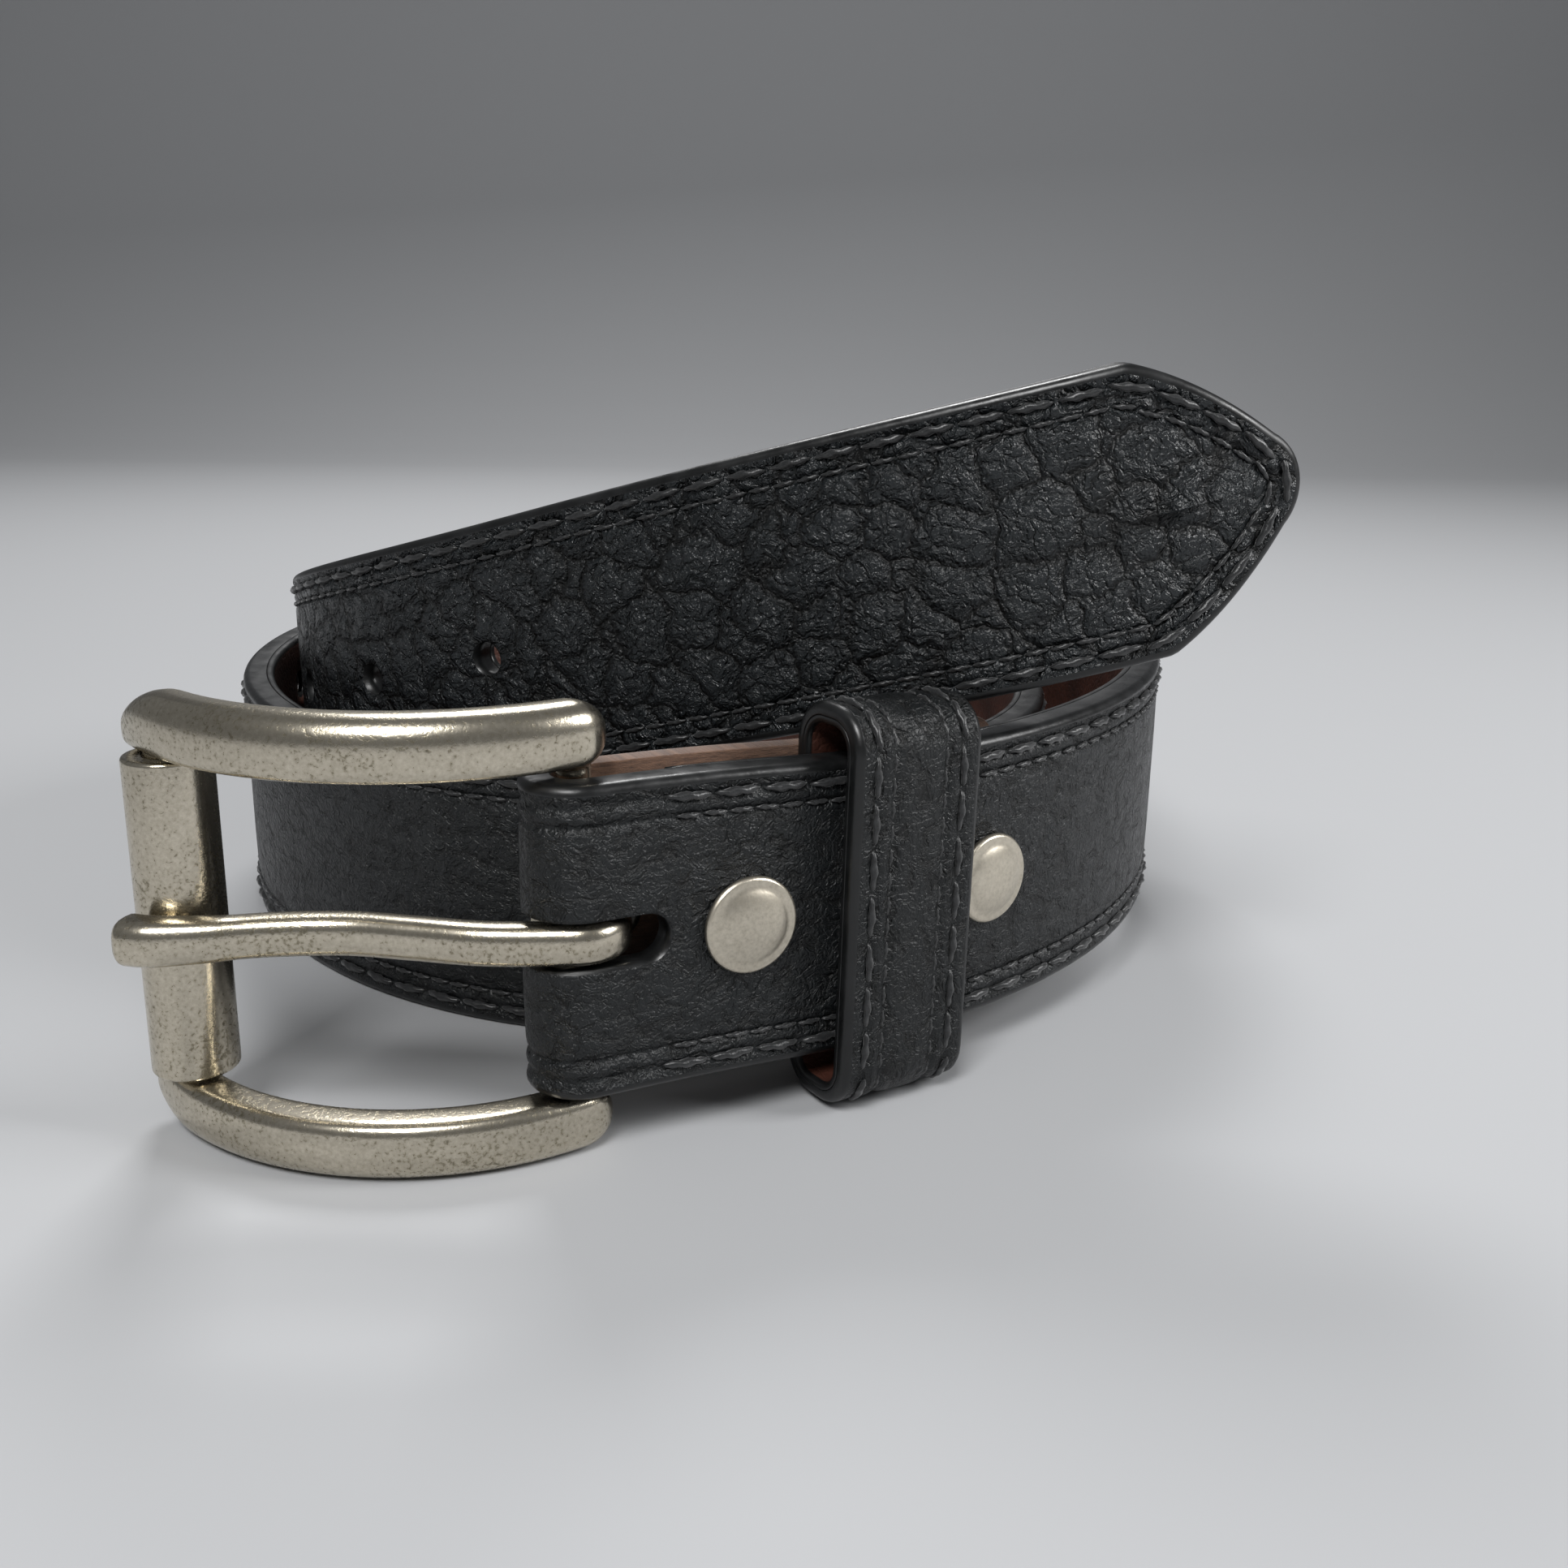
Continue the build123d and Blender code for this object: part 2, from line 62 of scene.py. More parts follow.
# ------------------------------------------------------------------ strap route, as in the CAD source
START = (-10.306, -91.447)
START_HEADING = 29.1
FOLD_STATION = 4.2
BUCKLE_HEADING = math.radians(176.9)
BEND = (
    (0, -0.9), (40, 2.6), (80, 6.2), (150, 6.9), (230, 6.4), (310, 8.4), (380, 7.8), (450, 6.4),
    (510, 9.5), (580, 9.0), (660, 7.0), (740, 9.4), (800, 11.6), (850, 8.3), (910, 0.9), (1010, 7.7),
)
CLIMB = (
    (0, 0.0), (8, 0.0), (30, -3.2), (60, 0.9), (120, 0.5), (200, -0.8), (300, -2.4), (400, -1.73),
    (460, 0.0), (620, 0.0), (680, 1.2), (760, 5.4), (840, 12.1), (900, 15.7), (960, 14.2), (1010, 14.2),
)
LEAN = ((600, 0.0), (1010, 1.5))

# ------------------------------------------------------------------ sizes shared with the CAD, in mm
STRAP_LENGTH = 1006.5
HALF_WIDTH = 19.0
TOP_THICK = 3.8
LINING_THICK = 1.2
FOLD_OUTER = 6.4
FLAP_LENGTH = 68.0
FLAP_OUTER = -12.8
FLAP_CORNER = 6.0
TIP_LENGTH = 20.5
FLANK_BULGE = 1.3
NOSE_RADIUS = 7.5
LINING_START = 14.4
SLOT_WIDTH = 6.2
SLOT_REACH = 9.2
HOLE_STATIONS = [STRAP_LENGTH - 118.0 - 25.4 * i for i in range(5)]
HOLE_RADIUS = 2.5
KEEPER_STATION = 43.8
SNAP_STATIONS = {"front": 23.4, "rear": 60.5}
ROLLER_DISTANCE = 46.87
BAR_HEIGHT = 7.6
BAR_DEPTH = 5.5
BAR_ARC_RADIUS = 32.1
BAR_ARC_RISE = 7.9
BAR_ARC_MIDDLE = 23.0
BAR_OUTER_CORNER = 6.3
BAR_NEAR_END = -3.0
BAR_FAR_END = 51.25
KEEPER_HALF_LENGTH = 9.5
KEEPER_FRONT = 4.8
KEEPER_REAR = 8.45
KEEPER_CORNER = 5.5
KEEPER_LIFT = 0.3
PRONG_HEIGHT = 27.0
PRONG_THICK = 4.3
PRONG_WIDE = 5.0

# ------------------------------------------------------------------ sizes of the finish, in mm
GLUE_LINE = 0.02
BEVELS = {"strap": (1.15, 0.2), "lining": (0.12, 0.75), "keeper": (1.0, 0.15), "keeper_lining": (0.1, 0.6)}
OUTER_ROW = 2.5
INNER_ROW = 4.85
KEEPER_OUTER_ROW = 3.0
KEEPER_INNER_ROW = 5.6
KEEPER_CROWN = 0.35
KEEPER_STATIONS_FROM = 3000.0
PUNCH_REACH = (-8.0, 3.0)


def between(table, station):
    """Value of a (station, value) table, straight between its rows."""
    if station <= table[0][0]:
        return table[0][1]
    for (low, first), (high, second) in zip(table, table[1:]):
        if station <= high:
            return first + (second - first) * (station - low) / (high - low)
    return table[-1][1]


def trace_path():
    """Mid-width line of the grain face, one point and heading for each millimetre."""
    x, y = START
    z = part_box("buckle_frame")[1][2] / MM / 2 - 0.4
    heading = START_HEADING
    points = [(x, y, z, heading)]
    for step in range(int(STRAP_LENGTH) + 2):
        turn = between(BEND, step + 0.5) / 10
        slope = math.radians(between(CLIMB, step + 0.5))
        course = math.radians(heading + turn / 2)
        x += math.cos(course) * math.cos(slope)
        y += math.sin(course) * math.cos(slope)
        z += math.sin(slope)
        heading += turn
        points.append((x, y, z, heading))
    return points


PATH = trace_path()


def strap_frame(station):
    """Point on the grain face at mid-width, with the along, up and out directions."""
    index = min(int(station), len(PATH) - 2)
    share = station - index
    x, y, z, heading = (a + (b - a) * share for a, b in zip(PATH[index], PATH[index + 1]))
    course = math.radians(heading)
    slope = math.radians(between(CLIMB, station))
    lean = math.radians(between(LEAN, station))
    level = Vector((math.cos(course), math.sin(course), 0))
    along = level * math.cos(slope) + Vector((0, 0, math.sin(slope)))
    upright = Vector((0, 0, math.cos(slope))) - level * math.sin(slope)
    outward = along.cross(upright)
    up = upright * math.cos(lean) + outward * math.sin(lean)
    out = outward * math.cos(lean) - upright * math.sin(lean)
    return Vector((x, y, z)), along, up, out


# ------------------------------------------------------------------ small helpers
def srgb(code):
    """Linear colour from an sRGB hex value such as 8A8178."""
    parts = [int(code[i:i + 2], 16) / 255 for i in (0, 2, 4)]
    return tuple(c / 12.92 if c <= 0.04045 else ((c + 0.055) / 1.055) ** 2.4 for c in parts) + (1.0,)


def link_object(name, mesh):
    """New object for a mesh, put in the scene."""
    obj = bpy.data.objects.new(name, mesh)
    bpy.context.scene.collection.objects.link(obj)
    return obj


def mesh_object(name, verts, faces, mats, face_mats=None, uvs=None):
    """Mesh in metres from points in mm, smooth shaded, with an optional UV in mm per corner."""
    mesh = bpy.data.meshes.new(name)
    mesh.from_pydata([tuple(c * MM for c in v) for v in verts], [], faces)
    for material in mats:
        mesh.materials.append(material)
    if face_mats:
        mesh.polygons.foreach_set("material_index", face_mats)
    if uvs:
        layer = mesh.uv_layers.new(name="surface_mm")
        for polygon, corners in zip(mesh.polygons, uvs):
            for loop, uv in zip(polygon.loop_indices, corners):
                layer.data[loop].uv = uv
    mesh.polygons.foreach_set("use_smooth", [True] * len(mesh.polygons))
    mesh.update()
    return link_object(name, mesh)


def bake(obj):
    """Replaces an object's mesh by its evaluated mesh and clears its modifiers."""
    graph = bpy.context.evaluated_depsgraph_get()
    graph.update()
    mesh = bpy.data.meshes.new_from_object(obj.evaluated_get(graph))
    obj.modifiers.clear()
    old = obj.data
    obj.data = mesh
    bpy.data.meshes.remove(old)
    return obj


def weld_and_turn_out(obj, distance=0.00002):
    """Merges doubles and points all faces outwards."""
    work = bmesh.new()
    work.from_mesh(obj.data)
    bmesh.ops.remove_doubles(work, verts=work.verts, dist=distance)
    bmesh.ops.dissolve_degenerate(work, edges=work.edges, dist=distance)
    bmesh.ops.recalc_face_normals(work, faces=work.faces)
    work.to_mesh(obj.data)
    work.free()
    return obj


def cut(obj, cutter):
    """Takes the cutter's shape out of the object."""
    change = obj.modifiers.new("cut", "BOOLEAN")
    change.operation = "DIFFERENCE"
    change.solver = "EXACT"
    change.object = cutter
    bake(obj)
    bpy.data.objects.remove(cutter, do_unlink=True)
    return obj


# ------------------------------------------------------------------ materials
def node(tree, kind, settings=None, **links):
    """Adds one node; settings are its properties, links its sockets' values or sources."""
    added = tree.nodes.new(kind)
    for key, value in (settings or {}).items():
        setattr(added, key, value)
    for key, value in links.items():
        socket = added.inputs[int(key[1:])] if key[0] == "i" and key[1:].isdigit() else added.inputs[key]
        if isinstance(value, bpy.types.NodeSocket):
            tree.links.new(value, socket)
        else:
            socket.default_value = value
    return added


def new_material(name, roughness, metallic=0.0, color=None, ior=None, sheen=0.0):
    """Material with its node tree and its Principled shader."""
    material = bpy.data.materials.new(name)
    material.use_nodes = True
    shader = material.node_tree.nodes["Principled BSDF"]
    shader.inputs["Roughness"].default_value = roughness
    shader.inputs["Metallic"].default_value = metallic
    shader.inputs["Sheen Weight"].default_value = sheen
    if ior:
        shader.inputs["IOR"].default_value = ior
    if color:
        shader.inputs["Base Color"].default_value = srgb(color)
    return material, material.node_tree, shader


def ramp(tree, source, stops):
    """Colour ramp from (place, hex colour or grey value) stops."""
    added = node(tree, "ShaderNodeValToRGB", i0=source)
    elements = added.color_ramp.elements
    while len(elements) < len(stops):
        elements.new(0.5)
    for element, (place, value) in zip(elements, stops):
        element.position = place
        element.color = srgb(value) if isinstance(value, str) else (value, value, value, 1)
    return added.outputs[0]


def math_node(tree, operation, first, second=0.0):
    """Output of one Math node."""
    return node(tree, "ShaderNodeMath", {"operation": operation}, i0=first, i1=second).outputs[0]


def grain_leather(colors):
    """Drum-dyed bison hide: fine creased grain at the buckle, swelling into pebbles at the tail.

    The fine grain is about 0.8 mm; the pebbles are 5 to 9 mm, domed, with soft valleys between.
    """
    material, tree, shader = new_material("pebbled_bison_hide_drum_dyed", 0.4, ior=1.44)
    surface = node(tree, "ShaderNodeUVMap", {"uv_map": "surface_mm"}).outputs[0]
    along = node(tree, "ShaderNodeSeparateXYZ", i0=surface).outputs[0]
    sway = node(tree, "ShaderNodeTexNoise", i0=surface, Scale=0.22, Detail=3.0).outputs["Color"]
    swayed = node(
        tree, "ShaderNodeVectorMath", {"operation": "MULTIPLY_ADD"}, i0=sway, i1=(5.5, 5.5, 0.0), i2=surface,
    ).outputs[0]
    shiver = node(tree, "ShaderNodeTexNoise", i0=surface, Scale=1.1, Detail=2.0).outputs["Color"]
    shivered = node(
        tree, "ShaderNodeVectorMath", {"operation": "MULTIPLY_ADD"}, i0=shiver, i1=(0.9, 0.9, 0.0), i2=swayed,
    ).outputs[0]
    to_edge = {"feature": "DISTANCE_TO_EDGE"}
    edge = node(tree, "ShaderNodeTexVoronoi", to_edge, i0=shivered, Scale=0.135)
    smooth = {"feature": "SMOOTH_F1"}
    dome = node(tree, "ShaderNodeTexVoronoi", smooth, i0=shivered, Scale=0.135, Smoothness=0.6)
    halves = node(tree, "ShaderNodeTexVoronoi", to_edge, i0=shivered, Scale=0.34)
    valley = ramp(tree, edge.outputs["Distance"], ((0.0, 0.0), (0.04, 0.5), (0.12, 0.88), (0.38, 1.0)))
    crown = math_node(tree, "MULTIPLY", dome.outputs["Distance"], -0.75)
    fold = ramp(tree, halves.outputs["Distance"], ((0.0, 0.0), (0.08, 0.75), (0.25, 1.0)))
    domed = math_node(tree, "ADD", valley, crown)
    pebbles = math_node(tree, "ADD", domed, math_node(tree, "MULTIPLY", fold, 0.3))
    patches = node(tree, "ShaderNodeTexNoise", i0=surface, Scale=0.035, Detail=2.0).outputs["Fac"]
    tail = node(tree, "ShaderNodeMapRange", i0=along, i1=620.0, i2=880.0, i3=0.14, i4=1.15).outputs[0]
    on_strap = math_node(tree, "LESS_THAN", along, KEEPER_STATIONS_FROM - 1000.0)
    tail = math_node(tree, "MULTIPLY", tail, on_strap)
    strength = math_node(tree, "MULTIPLY", tail, math_node(tree, "ADD", patches, 0.5))
    pebbles = math_node(tree, "MULTIPLY", pebbles, strength)
    stretched = node(tree, "ShaderNodeMapping", i0=swayed, Scale=(0.5, 1.0, 1.0)).outputs[0]
    crease = node(tree, "ShaderNodeTexNoise", i0=stretched, Scale=0.55, Detail=5.0, Roughness=0.55)
    crease = ramp(tree, crease.outputs["Fac"], ((0.36, 0.0), (0.47, 0.8), (0.7, 1.0)))
    large = math_node(tree, "ADD", pebbles, math_node(tree, "MULTIPLY", crease, 0.34))
    grit = node(tree, "ShaderNodeTexVoronoi", to_edge, i0=shivered, Scale=1.15)
    grit = ramp(tree, grit.outputs["Distance"], ((0.0, 0.0), (0.22, 0.85), (0.5, 1.0)))
    pores = node(tree, "ShaderNodeTexNoise", i0=surface, Scale=3.2, Detail=3.0).outputs["Fac"]
    grit = math_node(tree, "MULTIPLY", grit, 0.6)
    fine = math_node(tree, "ADD", grit, math_node(tree, "MULTIPLY", pores, 0.7))
    coarse_bump = node(tree, "ShaderNodeBump", Strength=0.95, Distance=0.0014, Height=large)
    bump = node(
        tree, "ShaderNodeBump", Strength=0.9, Distance=0.0002, Height=fine, Normal=coarse_bump.outputs[0],
    )
    tree.links.new(bump.outputs[0], shader.inputs["Normal"])
    # Painted shade and painted highlight: the base colour is darker in the pebbles' valleys and creases and
    # lighter on their crowns.
    tone = ramp(tree, large, ((0.0, colors["valley"]), (0.25, colors["base"]), (0.9, colors["high"])))
    tree.links.new(tone, shader.inputs["Base Color"])
    rubbed = math_node(tree, "MULTIPLY", fine, 0.5)
    wear = math_node(tree, "ADD", rubbed, math_node(tree, "MULTIPLY", large, 0.35))
    tree.links.new(ramp(tree, wear, ((0.2, 0.48), (0.85, 0.22))), shader.inputs["Roughness"])
    return material


def edge_paint(colors):
    """Burnished and painted cut edge: thick black paint, polished by hand, so it glints in long lines."""
    material, tree, shader = new_material("edge_paint_burnished", 0.3, ior=1.5)
    place = node(tree, "ShaderNodeTexCoord").outputs["Object"]
    wave = node(tree, "ShaderNodeTexNoise", i0=place, Scale=260.0, Detail=5.0).outputs["Fac"]
    bump = node(tree, "ShaderNodeBump", Strength=0.35, Distance=0.0004, Height=wave)
    tree.links.new(bump.outputs[0], shader.inputs["Normal"])
    tone = ramp(tree, wave, ((0.3, colors["edge_low"]), (0.75, colors["edge"])))
    tree.links.new(tone, shader.inputs["Base Color"])
    tree.links.new(ramp(tree, wave, ((0.3, 0.26), (0.8, 0.5))), shader.inputs["Roughness"])
    return material


def lining_leather(colors):
    """Smooth split calf lining, dyed red-brown: short grain creases and a soft waxed sheen."""
    material, tree, shader = new_material("calf_lining_waxed", 0.5, ior=1.48)
    surface = node(tree, "ShaderNodeUVMap", {"uv_map": "surface_mm"}).outputs[0]
    grain = node(tree, "ShaderNodeTexVoronoi", {"feature": "DISTANCE_TO_EDGE"}, i0=surface, Scale=0.9)
    cloud = node(tree, "ShaderNodeTexNoise", i0=surface, Scale=0.12, Detail=5.0).outputs["Fac"]
    tone = ramp(tree, cloud, ((0.3, colors["lining_low"]), (0.7, colors["lining"])))
    tree.links.new(tone, shader.inputs["Base Color"])
    height = ramp(tree, grain.outputs["Distance"], ((0.0, 0.0), (0.25, 1.0)))
    bump = node(tree, "ShaderNodeBump", Strength=0.35, Distance=0.0002, Height=height)
    tree.links.new(bump.outputs[0], shader.inputs["Normal"])
    return material


def flesh_side(colors):
    """Bare flesh side of a vegetable-tanned strap: matted brown fibres with no finish."""
    material, tree, shader = new_material("flesh_side_fibres", 0.85, ior=1.45, sheen=0.3)
    surface = node(tree, "ShaderNodeUVMap", {"uv_map": "surface_mm"}).outputs[0]
    longer = node(tree, "ShaderNodeMapping", i0=surface, Scale=(0.35, 1.6, 1.0)).outputs[0]
    fibre = node(tree, "ShaderNodeTexNoise", i0=longer, Scale=1.6, Detail=8.0, Roughness=0.7).outputs["Fac"]
    tone = ramp(tree, fibre, ((0.3, colors["flesh_low"]), (0.72, colors["flesh"])))
    tree.links.new(tone, shader.inputs["Base Color"])
    bump = node(tree, "ShaderNodeBump", Strength=0.8, Distance=0.0004, Height=fibre)
    tree.links.new(bump.outputs[0], shader.inputs["Normal"])
    return material


def sewing_thread(colors):
    """Waxed twisted polyester thread: black, with a dull wax sheen on each turn of the twist."""
    material, tree, shader = new_material("waxed_polyester_thread", 0.36, ior=1.5, sheen=0.2)
    place = node(tree, "ShaderNodeTexCoord").outputs["Object"]
    fuzz = node(tree, "ShaderNodeTexNoise", i0=place, Scale=4200.0, Detail=2.0).outputs["Fac"]
    bump = node(tree, "ShaderNodeBump", Strength=0.4, Distance=0.0001, Height=fuzz)
    tree.links.new(bump.outputs[0], shader.inputs["Normal"])
    tone = ramp(tree, fuzz, ((0.3, colors["thread_low"]), (0.7, colors["thread"])))
    tree.links.new(tone, shader.inputs["Base Color"])
    return material


def antique_nickel(colors, name, roughness, speckle):
    """Cast zinc, nickel plated and antiqued: warm and rubbed smooth, with fine dark pits and hair scratches.

    speckle is how dark the pits are, from 0 for an even face.
    """
    material, tree, shader = new_material(name, roughness, metallic=1.0)
    place = node(tree, "ShaderNodeTexCoord").outputs["Object"]
    cloud = node(tree, "ShaderNodeTexNoise", i0=place, Scale=75.0, Detail=3.0).outputs["Fac"]
    pits = node(tree, "ShaderNodeTexNoise", i0=place, Scale=1900.0, Detail=3.0, Roughness=0.6).outputs["Fac"]
    drawn = node(tree, "ShaderNodeMapping", i0=place, Scale=(1.0, 1.0, 0.2)).outputs[0]
    scratch = node(tree, "ShaderNodeTexNoise", i0=drawn, Scale=2600.0, Detail=2.0).outputs["Fac"]
    pitted = math_node(tree, "ADD", pits, math_node(tree, "MULTIPLY", cloud, 0.45))
    clear = ramp(tree, pitted, ((0.5, 0.7 - 1.5 * speckle), (0.66, 0.8), (0.95, 1.0)))
    tone = ramp(tree, clear, ((0.0, colors["patina"]), (0.55, colors["nickel_mid"]), (1.0, colors["nickel"])))
    tree.links.new(tone, shader.inputs["Base Color"])
    dullness = ramp(tree, clear, ((0.2, roughness + 0.16), (0.85, roughness)))
    tree.links.new(dullness, shader.inputs["Roughness"])
    relief = math_node(tree, "ADD", clear, math_node(tree, "MULTIPLY", scratch, 0.5))
    bump = node(tree, "ShaderNodeBump", Strength=0.35, Distance=0.00006, Height=relief)
    tree.links.new(bump.outputs[0], shader.inputs["Normal"])
    return material


def floor_paint(colors):
    """Plain matt studio board: even and pale, with no sheen."""
    return new_material("matt_studio_board", 0.9, color=colors["floor"])[0]


MATERIALS = {}


def make_materials(settings):
    """One dictionary of the belt's finishes, made once."""
    if MATERIALS:
        return MATERIALS
    # valley and high are the grain leather's painted shade and painted highlight colours.
    colors = {
        "base": settings.hide_color, "valley": "060707", "high": "1D2022",
        "edge": "161718", "edge_low": "090A0A", "lining": "4A2A20", "lining_low": "2C1812",
        "flesh": "7A5A44", "flesh_low": "40291C", "thread": "262728", "thread_low": "101112",
        "nickel": settings.metal_color, "nickel_mid": "9E9683", "patina": "4E483C", "floor": "A8A9AB",
    }
    MATERIALS["grain"] = grain_leather(colors)
    MATERIALS["edge"] = edge_paint(colors)
    MATERIALS["lining"] = lining_leather(colors)
    MATERIALS["flesh"] = flesh_side(colors)
    MATERIALS["thread"] = sewing_thread(colors)
    MATERIALS["nickel"] = antique_nickel(colors, "antiqued_nickel_cast", 0.23, 0.24)
    caps = dict(colors, nickel="D8D0C0", nickel_mid="B5AD9D", patina="8A8272")
    MATERIALS["cap"] = antique_nickel(caps, "nickel_cap_stamped_matt", 0.36, 0.05)
    MATERIALS["floor"] = floor_paint(colors)
    return MATERIALS


# ------------------------------------------------------------------ strips of leather
def strap_outline(distance, inset):
    """Half-width at a distance from the tail's nose, a given inset inside the cut edge."""
    reach = math.hypot(TIP_LENGTH - NOSE_RADIUS, HALF_WIDTH)
    angle = math.atan2(HALF_WIDTH, TIP_LENGTH - NOSE_RADIUS) + math.acos(NOSE_RADIUS / reach)
    touch = NOSE_RADIUS * (1 + math.cos(angle))
    narrowing = (HALF_WIDTH - NOSE_RADIUS * math.sin(angle)) / (TIP_LENGTH - touch)
    radius = max(NOSE_RADIUS - inset, 0.0)
    if distance < NOSE_RADIUS + radius * math.cos(angle):
        return math.sqrt(max(radius**2 - (NOSE_RADIUS - distance) ** 2, 0.0))
    flank = HALF_WIDTH - (TIP_LENGTH - distance) * narrowing - inset * math.hypot(1, narrowing)
    along = (TIP_LENGTH - distance) / (TIP_LENGTH - NOSE_RADIUS - radius * math.cos(angle))
    bulge = FLANK_BULGE * 4 * max(along * (1 - along), 0.0)
    return max(min(HALF_WIDTH - inset, flank + bulge), 0.0)


def flap_outline(distance, inset):
    """Half-width at a distance from the flap's end, with rounded corners."""
    if distance >= FLAP_CORNER:
        return HALF_WIDTH - inset
    corner = max(FLAP_CORNER - inset, 0.0)
    round_part = math.sqrt(max(corner**2 - (FLAP_CORNER - distance) ** 2, 0.0))
    return min(HALF_WIDTH - inset, HALF_WIDTH - FLAP_CORNER + round_part)


def ring_half(rounding, thick, columns):
    """Half of a strip's ring, as (inset, depth, part), from mid-face round the edge to mid-back.

    part is 0 on the face, 1 on the edge and 2 on the back.
    """
    top, bottom = rounding
    half = [(inset, depth, 0) for inset, depth in columns]
    for i in range(7):
        turn = math.pi / 12 * i
        half.append((top * (1 - math.sin(turn)), top * (1 - math.cos(turn)), 0 if i == 0 else 1))
    for i in range(4):
        turn = math.pi / 6 * i
        half.append((bottom * (1 - math.cos(turn)), thick - bottom * (1 - math.sin(turn)), 1))
    return half + [(inset, thick, 2) for inset, depth in reversed(columns)]


PART_OF_PAIR = (0, 1, 1, 2, 2)  # material slot of a face, by the sum of its two sides' parts
END_ZONE = 30.0  # length over which the rows draw together towards a shaped end
RAW_BEFORE = -16.0  # the cut edge is left raw at stations before this one


def leather_strip(name, rows, half, mats, caps=(False, False), closed=False):
    """Skins rows of a strip, each (place, station, distance from the end, outline).

    place(across, depth, back) gives a point in mm; back is how far it lies behind the row.
    caps says whether the first and the last row are closed with a flat end.
    """
    ring = 2 * len(half)
    parts = [part for inset, depth, part in half]
    parts += parts[::-1]
    verts, spots = [], []
    for place, station, distance, outline in rows:
        near = max(0.0, 1 - distance / END_ZONE)
        for side, steps in ((1, half), (-1, half[::-1])):
            for inset, depth, part in steps:
                across = side * outline(distance + inset * near, inset)
                verts.append(place(across, depth, inset * near))
                spots.append((station - inset * near, across))
    faces, marks, uvs = [], [], []
    for r in range(len(rows) if closed else len(rows) - 1):
        here, there = r * ring, (r + 1) % len(rows) * ring
        for k in range(ring):
            nxt = (k + 1) % ring
            face = (here + k, here + nxt, there + nxt, there + k)
            corner = [spots[v] for v in face]
            if there < here:
                step = rows[1][1] - rows[0][1]
                corner[2] = (corner[1][0] + step, corner[2][1])
                corner[3] = (corner[0][0] + step, corner[3][1])
            faces.append(face)
            mark = PART_OF_PAIR[parts[k] + parts[nxt]]
            marks.append(2 if mark == 1 and rows[r][1] < RAW_BEFORE else mark)
            uvs.append(corner)
    for used, row in zip(caps, (0, len(rows) - 1)):
        for k in range(len(half) - 1 if used else 0):
            base = row * ring
            face = (base + k, base + k + 1, base + ring - 2 - k, base + ring - 1 - k)
            faces.append(face)
            marks.append(PART_OF_PAIR[parts[k] + parts[k + 1]])
            uvs.append([spots[v] for v in face])
    return weld_and_turn_out(mesh_object(name, verts, faces, mats, marks, uvs))


def front_place(station, depth0=0.0):
    """Place on the front layer, or on a layer that lies depth0 behind its face."""
    point, along, up, out = strap_frame(station)

    def place(across, depth, back):
        return point - along * back + up * across - out * (depth0 + depth)

    return place


def flap_place(station):
    """Place on the turned-back flap, beside a station of the front layer."""
    point, along, up, out = strap_frame(station)

    def place(across, depth, back):
        return point - along * back + up * across + out * (FLAP_OUTER + depth)

    return place


def fold_place(turn):
    """Place on the turn round the heel bar; 0 at the flap's side and pi at the front."""
    point, along, up, out = strap_frame(FOLD_STATION)
    centre = point - out * FOLD_OUTER
    away = -out * math.cos(turn) - along * math.sin(turn)

    def place(across, depth, back):
        return centre + up * across + away * (FOLD_OUTER - depth)

    return place


def spaced(first, last, step):
    """Evenly spaced values from first to last, about a step apart."""
    count = max(1, round(abs(last - first) / step))
    return [first + (last - first) * i / count for i in range(count + 1)]


MIDDLE = [(18.9, 0.0), (15.5, 0.0), (11.5, 0.0)]
GROOVES = [  # (inset, depth) across the grain face, with the dips that the stitches pull
    (7.5, 0.05), (6.0, 0.08), (5.5, 0.16), (5.15, 0.38), (4.85, 0.58), (4.55, 0.38), (4.15, 0.12),
    (3.65, 0.03), (3.2, 0.14), (2.85, 0.36), (2.5, 0.5), (2.15, 0.36), (1.75, 0.14), (1.45, 0.06),
]
NOSE_STEPS = [2.4, 1.8, 1.3, 0.9, 0.55, 0.3, 0.12, 0.03, 0.0]
FLAP_STEPS = [0.0, 0.25, 0.7, 1.3, 2.1, 3.0, 4.0, 5.0, 6.0]
FOLD_STEPS = 18


def tail_distances(first, step):
    """Distances from the nose for the rows of the front layer, closer together near it."""
    return spaced(STRAP_LENGTH - first, END_ZONE, step) + spaced(END_ZONE - 1.0, 3.0, 1.0) + NOSE_STEPS


def tail_rows(first, depth0):
    """Rows along the front layer from a station to the nose."""
    rows = []
    for distance in tail_distances(first, 2.0):
        station = STRAP_LENGTH - distance
        rows.append((front_place(station, depth0), station, distance, strap_outline))
    return rows


def top_leather(mats):
    """Grain leather in one piece: flap, turn round the heel bar, and the strap to its nose."""
    rows = []
    turn_length = math.pi * FOLD_OUTER
    for distance in FLAP_STEPS + spaced(7.5, FLAP_LENGTH, 2.0):
        station = FOLD_STATION + FLAP_LENGTH - distance
        mark = distance - FLAP_LENGTH - turn_length + FOLD_STATION
        rows.append((flap_place(station), mark, distance, flap_outline))
    for i in range(1, FOLD_STEPS):
        mark = FOLD_STATION - turn_length * (1 - i / FOLD_STEPS)
        rows.append((fold_place(math.pi * i / FOLD_STEPS), mark, 2 * END_ZONE, strap_outline))
    rows += tail_rows(FOLD_STATION, 0.0)
    half = ring_half(BEVELS["strap"], TOP_THICK, MIDDLE + GROOVES)
    return leather_strip("grain_leather_strap", rows, half, mats, caps=(True, False))


